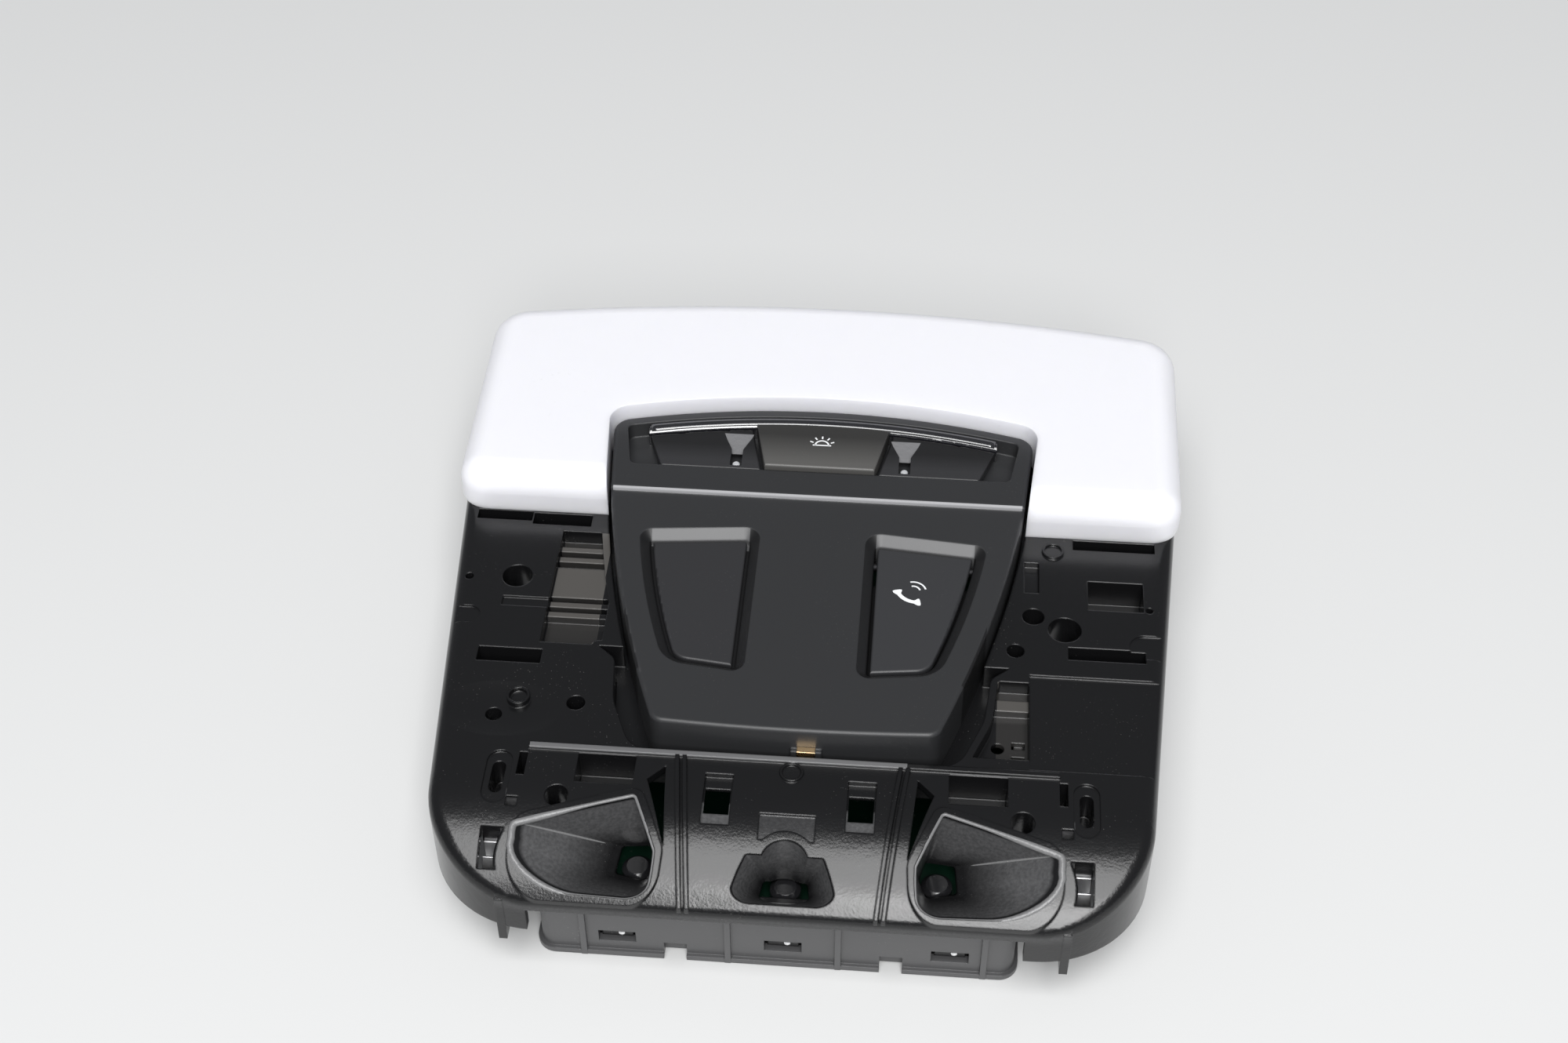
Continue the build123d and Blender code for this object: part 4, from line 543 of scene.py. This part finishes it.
def ribbon_mesh(name, ribbons, level):
    """One flat mesh from several ribbons, each a grid of (n, 2) points in mm, at one height."""
    plan = np.concatenate([ribbon.reshape(-1, 2) for ribbon in ribbons]) * MM
    faces, first = [], 0
    for ribbon in ribbons:
        faces += sheet_faces(len(ribbon), 2, first)
        first += len(ribbon) * 2
    return new_piece(name, np.column_stack([plan, np.full(len(plan), level)]), faces)


print("a ribbon of 33 points has", len(sheet_faces(33, 2)), "faces")

# %% half sun on the dome key
SUN_MM, SUN_RADIUS_MM = (0.1, 16.0), 1.45
LINE_HALF_MM, RAY_THINNER = 0.18, 0.9
HORIZON_HALF_MM = 2.0
RAY_REACH_MM = (2.05, 2.45, 2.85)
RAY_TURNS_DEG = (24.0, 57.0, 90.0, 123.0, 156.0)

key_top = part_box("dome_light_key")[1][2]
sun = [stroke(arc(SUN_MM, SUN_RADIUS_MM, 0, 180), LINE_HALF_MM)]
sun.append(stroke(np.array(SUN_MM) + np.outer((-1.0, 0.0, 1.0), (HORIZON_HALF_MM, 0.0)), LINE_HALF_MM))
for turn in RAY_TURNS_DEG:
    out = np.array([math.cos(math.radians(turn)), math.sin(math.radians(turn))])
    sun.append(stroke(np.array(SUN_MM) + np.outer(RAY_REACH_MM, out), LINE_HALF_MM * RAY_THINNER))
sun_print = ribbon_mesh("sun_print", sun, key_top + INK_LIFT_MM * MM)
sun_print.data.materials.append(ink)
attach(sun_print, "dome_key")
print("sun print:", len(sun), "strokes at", round(key_top, 5))

# %% handset on the call flap
HANDSET_MM, HANDSET_RADIUS_MM, HANDSET_SWEEP_DEG = (22.13, -22.16), 4.1, (192, 282)
GRIP_HALF_MM, CUP_EXTRA_MM, CUP_END_SHARE = 0.44, 0.52, 0.55
CUP_START, CUP_OVER = 0.30, 0.12
WAVE_SHIFT_MM, WAVE_RADII_MM, WAVE_SWEEP_DEG = (-0.7, -1.0), (1.4, 2.6), (15, 105)

flap_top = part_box("call_flap")[1][2]
along = np.linspace(0, 1, 49)
grip_half = GRIP_HALF_MM + CUP_EXTRA_MM * np.clip((np.abs(along - 0.5) - CUP_START) / CUP_OVER, 0, 1)
grip_half[[0, -1]] *= CUP_END_SHARE
handset = [stroke(arc(HANDSET_MM, HANDSET_RADIUS_MM, *HANDSET_SWEEP_DEG, len(along)), grip_half)]
wave_centre = np.add(HANDSET_MM, WAVE_SHIFT_MM)
for radius in WAVE_RADII_MM:
    handset.append(stroke(arc(wave_centre, radius, *WAVE_SWEEP_DEG), LINE_HALF_MM))
handset_print = ribbon_mesh("handset_print", handset, flap_top + INK_LIFT_MM * MM)
handset_print.data.materials.append(ink)
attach(handset_print, "flap")
print("handset print:", len(handset), "strokes at", round(flap_top, 5))

# %% [markdown]
# ## Etched ramps of the side keys
#
# Each side key has a notch that leads the finger to its light pipe. The floor of the notch slopes
# down and narrows, and its mould is etched coarsely, so it looks pale grey. The key has one material,
# so a thin sheet on that floor carries the other finish.

# %% ramps
RAMP_X_MM = 18.2
RAMP_HIGH_MM = (20.4, 36.4, 3.5)
RAMP_LOW_MM = (15.2, 34.9, 1.25)
RAMP_UPPER_MARGIN, RAMP_SIDE_MARGIN = 0.04, 0.03


def ramp_points(centre_x, count=9):
    """A grid P(u, v) = (x + (2 v - 1) w(u), y(u), z(u)); y, z and half width w are straight in u."""
    down = np.linspace(RAMP_UPPER_MARGIN, 1, count)
    sideways = np.linspace(RAMP_SIDE_MARGIN, 1 - RAMP_SIDE_MARGIN, count)
    u, v = np.meshgrid(down, sideways, indexing="ij")
    depth, height, half = [high + u * (low - high) for high, low in zip(RAMP_HIGH_MM, RAMP_LOW_MM)]
    return np.stack([centre_x + (2 * v - 1) * half, depth, height + INK_LIFT_MM], axis=-1)


def sheet_mesh(name, grid):
    """An open mesh from a grid of points in mm, with its faces turned up."""
    return new_piece(name, grid.reshape(-1, 3) * MM, sheet_faces(*grid.shape[:2]))


etched = plastic("etched_ramp", (0.15, 0.15, 0.155), 0.40, grain=(1100.0, 1.0), dust=(2600.0, 1.0))
for body, centre_x in (("left_key", -RAMP_X_MM), ("right_key", RAMP_X_MM)):
    ramp = sheet_mesh(body + "_ramp", ramp_points(centre_x))
    ramp.data.materials.append(etched)
    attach(ramp, body)
    print(ramp.name, len(ramp.data.polygons), "faces")

# %% [markdown]
# ## Rolled rims of the side tunnels
#
# A side tunnel is a ruled funnel: straight lines join a small rounded loop deep in the nose to a wide
# one above it. The rim lies where those lines pass the nose, and a thin bead follows it. With the
# throat loop T and the upper loop H, a line is P(t) = T + t (H - T), and t is found by steps that
# each go half the way to the height of the nose surface, so that they settle. Picking the rim's edges
# from the mesh would be shorter, but this line is smooth and doesn't depend on the triangles.

# %% loops of the funnel
FOOT_MM, HEAD_MM, RIM_MM = 16.0, 31.7, 0.7
THROAT_MM = np.array([(26.5, -77.6), (32.0, -78.2), (32.6, -84.6), (26.8, -86.0), (25.4, -82.0)])
MOUTH_MM = np.array([(29.0, -76.8), (50.4, -83.4), (50.8, -94.4), (25.0, -94.4), (24.4, -87.0)])
MOUTH_ROUNDS_MM = np.array([0.8, 3.0, 5.4, 4.5, 2.0])
THROAT_ROUND_MM = 0.8
LOOP_STEPS = 14


def nose_height(y):
    """Height of the carrier's surface in mm: flat, then a circle about the nose centre."""
    past = np.clip(NOSE_START_MM - y, 0.0, NOSE_RADIUS_MM * math.sin(NOSE_ANGLE))
    return PLATE_TOP_MM - NOSE_RADIUS_MM + np.sqrt(NOSE_RADIUS_MM**2 - past**2)


def unit(vectors):
    """Vectors of length one."""
    return vectors / np.linalg.norm(vectors, axis=-1, keepdims=True)


def rounded_loop(corners, radii, count=LOOP_STEPS):
    """A closed polygon whose corners are arcs; each side and each arc gets count points.

    For half the corner angle a, the arc starts r / tan(a) from the corner and its centre lies
    r / sin(a) along the bisector. Points on the arc come from spherical interpolation.
    """
    back = unit(np.roll(corners, 1, axis=0) - corners)
    ahead = unit(np.roll(corners, -1, axis=0) - corners)
    half = 0.5 * np.arccos(np.sum(back * ahead, axis=1))
    centre = corners + unit(back + ahead) * (radii / np.sin(half))[:, None]
    first = corners + back * (radii / np.tan(half))[:, None]
    last = corners + ahead * (radii / np.tan(half))[:, None]
    step = np.linspace(0, 1, count)
    sweep = (np.pi - 2 * half)[:, None]
    start_share = (np.sin((1 - step) * sweep) / np.sin(sweep))[..., None]
    end_share = (np.sin(step * sweep) / np.sin(sweep))[..., None]
    arcs = centre[:, None] + start_share * (first - centre)[:, None] + end_share * (last - centre)[:, None]
    side_step = np.linspace(0, 1, count + 2)[1:-1, None]
    sides = last[:, None] + side_step * (np.roll(first, -1, axis=0) - last)[:, None]
    return np.concatenate([arcs, sides], axis=1).reshape(-1, 2)


stretch = (HEAD_MM - FOOT_MM) / (nose_height(MOUTH_MM[:, 1]) - FOOT_MM)
head_corners = THROAT_MM + stretch[:, None] * (MOUTH_MM - THROAT_MM)
head_rounds = THROAT_ROUND_MM + stretch * (MOUTH_ROUNDS_MM - THROAT_ROUND_MM)
throat_loop = rounded_loop(THROAT_MM, np.full(len(THROAT_MM), THROAT_ROUND_MM))
head_loop = rounded_loop(head_corners, head_rounds)
print("funnel loops:", len(throat_loop), "and", len(head_loop), "points")

# %% line of the rim
SETTLE_STEPS = 30

share = np.full(len(throat_loop), 0.5)
for _ in range(SETTLE_STEPS):
    depth = throat_loop[:, 1] + share * (head_loop - throat_loop)[:, 1]
    share = 0.5 * share + 0.5 * (nose_height(depth) + RIM_MM - FOOT_MM) / (HEAD_MM - FOOT_MM)
rim_line = np.column_stack(
    [throat_loop + share[:, None] * (head_loop - throat_loop), FOOT_MM + share * (HEAD_MM - FOOT_MM)]
)
print("rim line: depth", rim_line[:, 1].min().round(2), "to", rim_line[:, 1].max().round(2))

# %% beads on the rims
BEAD_RADIUS_MM, BEAD_SUNK_MM = (0.34, 0.75), 0.3
WIDE_START_MM, WIDE_OVER_MM = 36.0, 12.0


def bead_points(line, radius, sides=10):
    """A closed tube round a closed line: each ring is spanned by the level normal and the one above it."""
    tangent = unit(np.roll(line, -1, axis=0) - np.roll(line, 1, axis=0))
    level = unit(np.cross(tangent, (0.0, 0.0, 1.0)))
    above = np.cross(level, tangent)
    turn = np.linspace(0, 2 * np.pi, sides, endpoint=False)
    ring = np.cos(turn)[None, :, None] * level[:, None] + np.sin(turn)[None, :, None] * above[:, None]
    return line[:, None] + radius[:, None, None] * ring


def tube_mesh(name, grid, ends_meet=False):
    """A smooth tube from a grid of rings in mm, which closes on itself or gets a face on each end."""
    index = np.arange(grid.shape[0] * grid.shape[1]).reshape(grid.shape[:2])
    beside = np.roll(index, -1, axis=1)
    quads = np.stack([index, beside, np.roll(beside, -1, axis=0), np.roll(index, -1, axis=0)], axis=-1)
    if ends_meet:
        faces = quads.reshape(-1, 4).tolist()
    else:
        faces = quads[:-1].reshape(-1, 4).tolist() + [index[0, ::-1].tolist(), index[-1].tolist()]
    return new_piece(name, grid.reshape(-1, 3) * MM, faces, smooth=True)


# pale grey with dense pale specks: a painted highlight on the tunnel rims and ridges
rim_highlight_look = plastic(
    "painted_rim_highlight", (0.17, 0.17, 0.172), 0.30, grain=(1600.0, 0.9), flow=(300.0, 0.3), dust=(1900.0, 1.0)
)
for name, mirror in (("left_tunnel_rim", -1.0), ("right_tunnel_rim", 1.0)):
    line = rim_line * (mirror, 1.0, 1.0) - (0.0, 0.0, BEAD_SUNK_MM)
    if mirror < 0:
        line = line[::-1]
    outward = np.clip((np.abs(line[:, 0]) - WIDE_START_MM) / WIDE_OVER_MM, 0.0, 1.0)
    widths = BEAD_RADIUS_MM[0] + (BEAD_RADIUS_MM[1] - BEAD_RADIUS_MM[0]) * outward**2 * (3 - 2 * outward)
    line[:, 2] -= 0.5 * (widths - BEAD_RADIUS_MM[0])
    rim = tube_mesh(name, bead_points(line, widths), ends_meet=True)
    rim.data.materials.append(rim_highlight_look)
    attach(rim, "base")
    print(name, len(rim.data.vertices), "points")

# %% [markdown]
# ## Ridges in the tunnels
#
# Two walls of each tunnel meet in a rounded crease that runs from the throat up to the rim and catches
# the light. It follows the same ruled lines, from the middle of one corner arc of the throat to the
# same point of the rim, so a slim spindle between those two points is enough.

# %% ridges
RIDGE_RADIUS_MM = 0.26
RIDGE_CORNER = 1
RIDGE_SPAN = (0.15, 0.96)
RIDGE_TIP, RIDGE_BULGE = 0.1, 0.5


def ridge_points(start, end, radius, count=24, sides=8):
    """A slim spindle from start to end: its radius falls to a tenth at both ends, by sin(pi u)."""
    u = np.linspace(0, 1, count)[:, None]
    line = start + u * (end - start)
    along = unit(end - start)
    level = unit(np.cross(along, (0.0, 0.0, 1.0)))
    above = np.cross(level, along)
    turn = np.linspace(0, 2 * np.pi, sides, endpoint=False)
    ring = np.cos(turn)[:, None] * level + np.sin(turn)[:, None] * above
    width = radius * (RIDGE_TIP + (1 - RIDGE_TIP) * np.sin(np.pi * u) ** RIDGE_BULGE)
    return line[:, None] + width[:, None] * ring[None]


crease = RIDGE_CORNER * 2 * LOOP_STEPS + LOOP_STEPS // 2
for name, mirror in (("left_tunnel_ridge", -1.0), ("right_tunnel_ridge", 1.0)):
    top = rim_line[crease] * (mirror, 1.0, 1.0)
    foot = np.append(throat_loop[crease], FOOT_MM) * (mirror, 1.0, 1.0)
    start, end = [foot + part * (top - foot) for part in RIDGE_SPAN]
    ridge = tube_mesh(name, ridge_points(start, end, RIDGE_RADIUS_MM))
    ridge.data.materials.append(rim_highlight_look)
    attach(ridge, "base")
    print(name, len(ridge.data.vertices), "points")

# %% [markdown]
# ## Crown of the gloss trim
#
# The strip over the keys is gently crowned, so a thin bright line runs along it. A flat top would
# mirror one plain tone, and a bevel on the solid would change its size. A low ellipse, carried along
# the strip's own arc, gives the round without either.

# %% crown of the gloss trim
ARCH_CENTRE_MM, ARCH_RADIUS_MM, ARCH_HALF_MM = -142.59, 167.09, 37.6
CROWN_LEVEL_MM, CROWN_HALF_MM, CROWN_RISE_MM = 36.85, 1.1, 0.45


def arch_points(count=61, sides=20):
    """An ellipse carried along an arc: P = (R + w cos b) (sin a, cos a) in plan, h sin b in height."""
    reach = math.asin(ARCH_HALF_MM / ARCH_RADIUS_MM)
    a = np.linspace(-reach, reach, count)[:, None]
    b = np.linspace(0, 2 * np.pi, sides, endpoint=False)[None, :]
    out = ARCH_RADIUS_MM + CROWN_HALF_MM * np.cos(b)
    level = CROWN_LEVEL_MM + CROWN_RISE_MM * np.sin(b) + 0 * a
    return np.stack([out * np.sin(a), ARCH_CENTRE_MM + out * np.cos(a), level], axis=-1)


crown = tube_mesh("trim_crown", arch_points())
crown.data.materials.append(looks["trim_gloss"])
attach(crown, "base")
print("trim crown:", len(crown.data.vertices), "points")

# %% [markdown]
# ## Studs in the snap windows
#
# A small bright point shows in each of the three slots of the housing's front wall. It is taken as the
# polished end of a stud: a ball, flattened so that it hardly stands out of its slot.

# %% studs in the snap windows
STUD_MIDDLE_MM, STUD_STEP_MM = (0.8, -90.6, 5.3), 32.0
STUD_RADIUS_MM, STUD_FLATNESS = 0.75, 0.5
POLE_GAP = 0.02


def stud_points(centre, radius, rings=10, sides=20):
    """A ball flattened to a half along y: P = c + r (sin a cos b, cos a / 2, sin a sin b)."""
    a = np.linspace(POLE_GAP, np.pi - POLE_GAP, rings)[:, None]
    b = np.linspace(0, 2 * np.pi, sides, endpoint=False)[None, :]
    flat = STUD_FLATNESS * np.cos(a) + 0 * b
    return np.array(centre) + radius * np.stack([np.sin(a) * np.cos(b), flat, np.sin(a) * np.sin(b)], axis=-1)


polished = metal("polished_steel", (0.80, 0.80, 0.81), 0.18)
for place, step in (("left", -1), ("middle", 0), ("right", 1)):
    centre = np.array(STUD_MIDDLE_MM) + (step * STUD_STEP_MM, 0.0, 0.0)
    stud = tube_mesh(place + "_snap_stud", stud_points(centre, STUD_RADIUS_MM))
    stud.data.materials.append(polished)
    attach(stud, "base")
    print(stud.name, len(stud.data.vertices), "points")

# %% [markdown]
# ## Floor, light and camera
#
# The part lies on a pale satin table. A big soft light hangs above, and a smaller one stands in
# front, so that the faces that look at us are bright and the hollows stay dark. Small hard lamps
# would throw edged shadows, which a studio picture of a product avoids.
# The camera looks down at 44 degrees, a little from the right, through a 50 mm lens.

# %% floor
FLOOR_HALF = 3.0
FLOOR_GAP = 0.0002

corners = FLOOR_HALF * np.array([(-1, -1, 0), (1, -1, 0), (1, 1, 0), (-1, 1, 0)])
floor = new_piece("floor", corners, [(0, 1, 2, 3)])
floor.data.materials.append(
    plastic("table", (0.665, 0.668, 0.665), 0.40, grain=(300.0, 0.0), flow=(3.0, 0.03), dust=(200.0, 0.0))
)
floor.location.z = cad_box[0][2] - FLOOR_GAP
print("floor at", round(floor.location.z, 5))

# %% lights
TARGET = Vector((-0.0069, 0.0, 0.030))
SKY_COLOUR, SKY_STRENGTH = (0.92, 0.95, 1.0, 1.0), 0.20


def soft_light(name, place, size, power):
    """A square area light that looks at the part."""
    lamp = bpy.data.lights.new(name, "AREA")
    lamp.size = size
    lamp.energy = power
    holder = bpy.data.objects.new(name, lamp)
    bpy.context.scene.collection.objects.link(holder)
    holder.location = place
    holder.rotation_euler = (TARGET - Vector(place)).to_track_quat("-Z", "Y").to_euler()


soft_light("overhead", place=(0.0, -1.32, 3.0), size=2.3, power=106.0)
soft_light("in_front", place=(0.12, -0.95, 0.80), size=0.45, power=7.5)
world = bpy.data.worlds.new("studio")
bpy.context.scene.world = world
world.use_nodes = True
world.node_tree.nodes["Background"].inputs["Color"].default_value = SKY_COLOUR
world.node_tree.nodes["Background"].inputs["Strength"].default_value = SKY_STRENGTH
bpy.context.scene.view_settings.view_transform = "Standard"

# %% camera
ELEVATION, AZIMUTH, ROLL = math.radians(44.0), math.radians(4.671), math.radians(-0.227)
DISTANCE = 0.470
SENSOR_MM, FOCAL_PIXELS, FRAME_PIXELS = 36.0, 2800.0, 2000.0

lens = bpy.data.cameras.new("camera")
lens.sensor_width = SENSOR_MM
lens.lens = SENSOR_MM * FOCAL_PIXELS / FRAME_PIXELS
camera = bpy.data.objects.new("camera", lens)
bpy.context.scene.collection.objects.link(camera)
level = math.cos(ELEVATION)
back = Vector((math.sin(AZIMUTH) * level, -math.cos(AZIMUTH) * level, math.sin(ELEVATION)))
turn = back.to_track_quat("Z", "Y").to_matrix().to_4x4() @ Matrix.Rotation(ROLL, 4, "Z")
camera.matrix_world = Matrix.Translation(TARGET + back * DISTANCE) @ turn
bpy.context.scene.camera = camera
print("camera at", tuple(round(value, 4) for value in camera.matrix_world.translation))
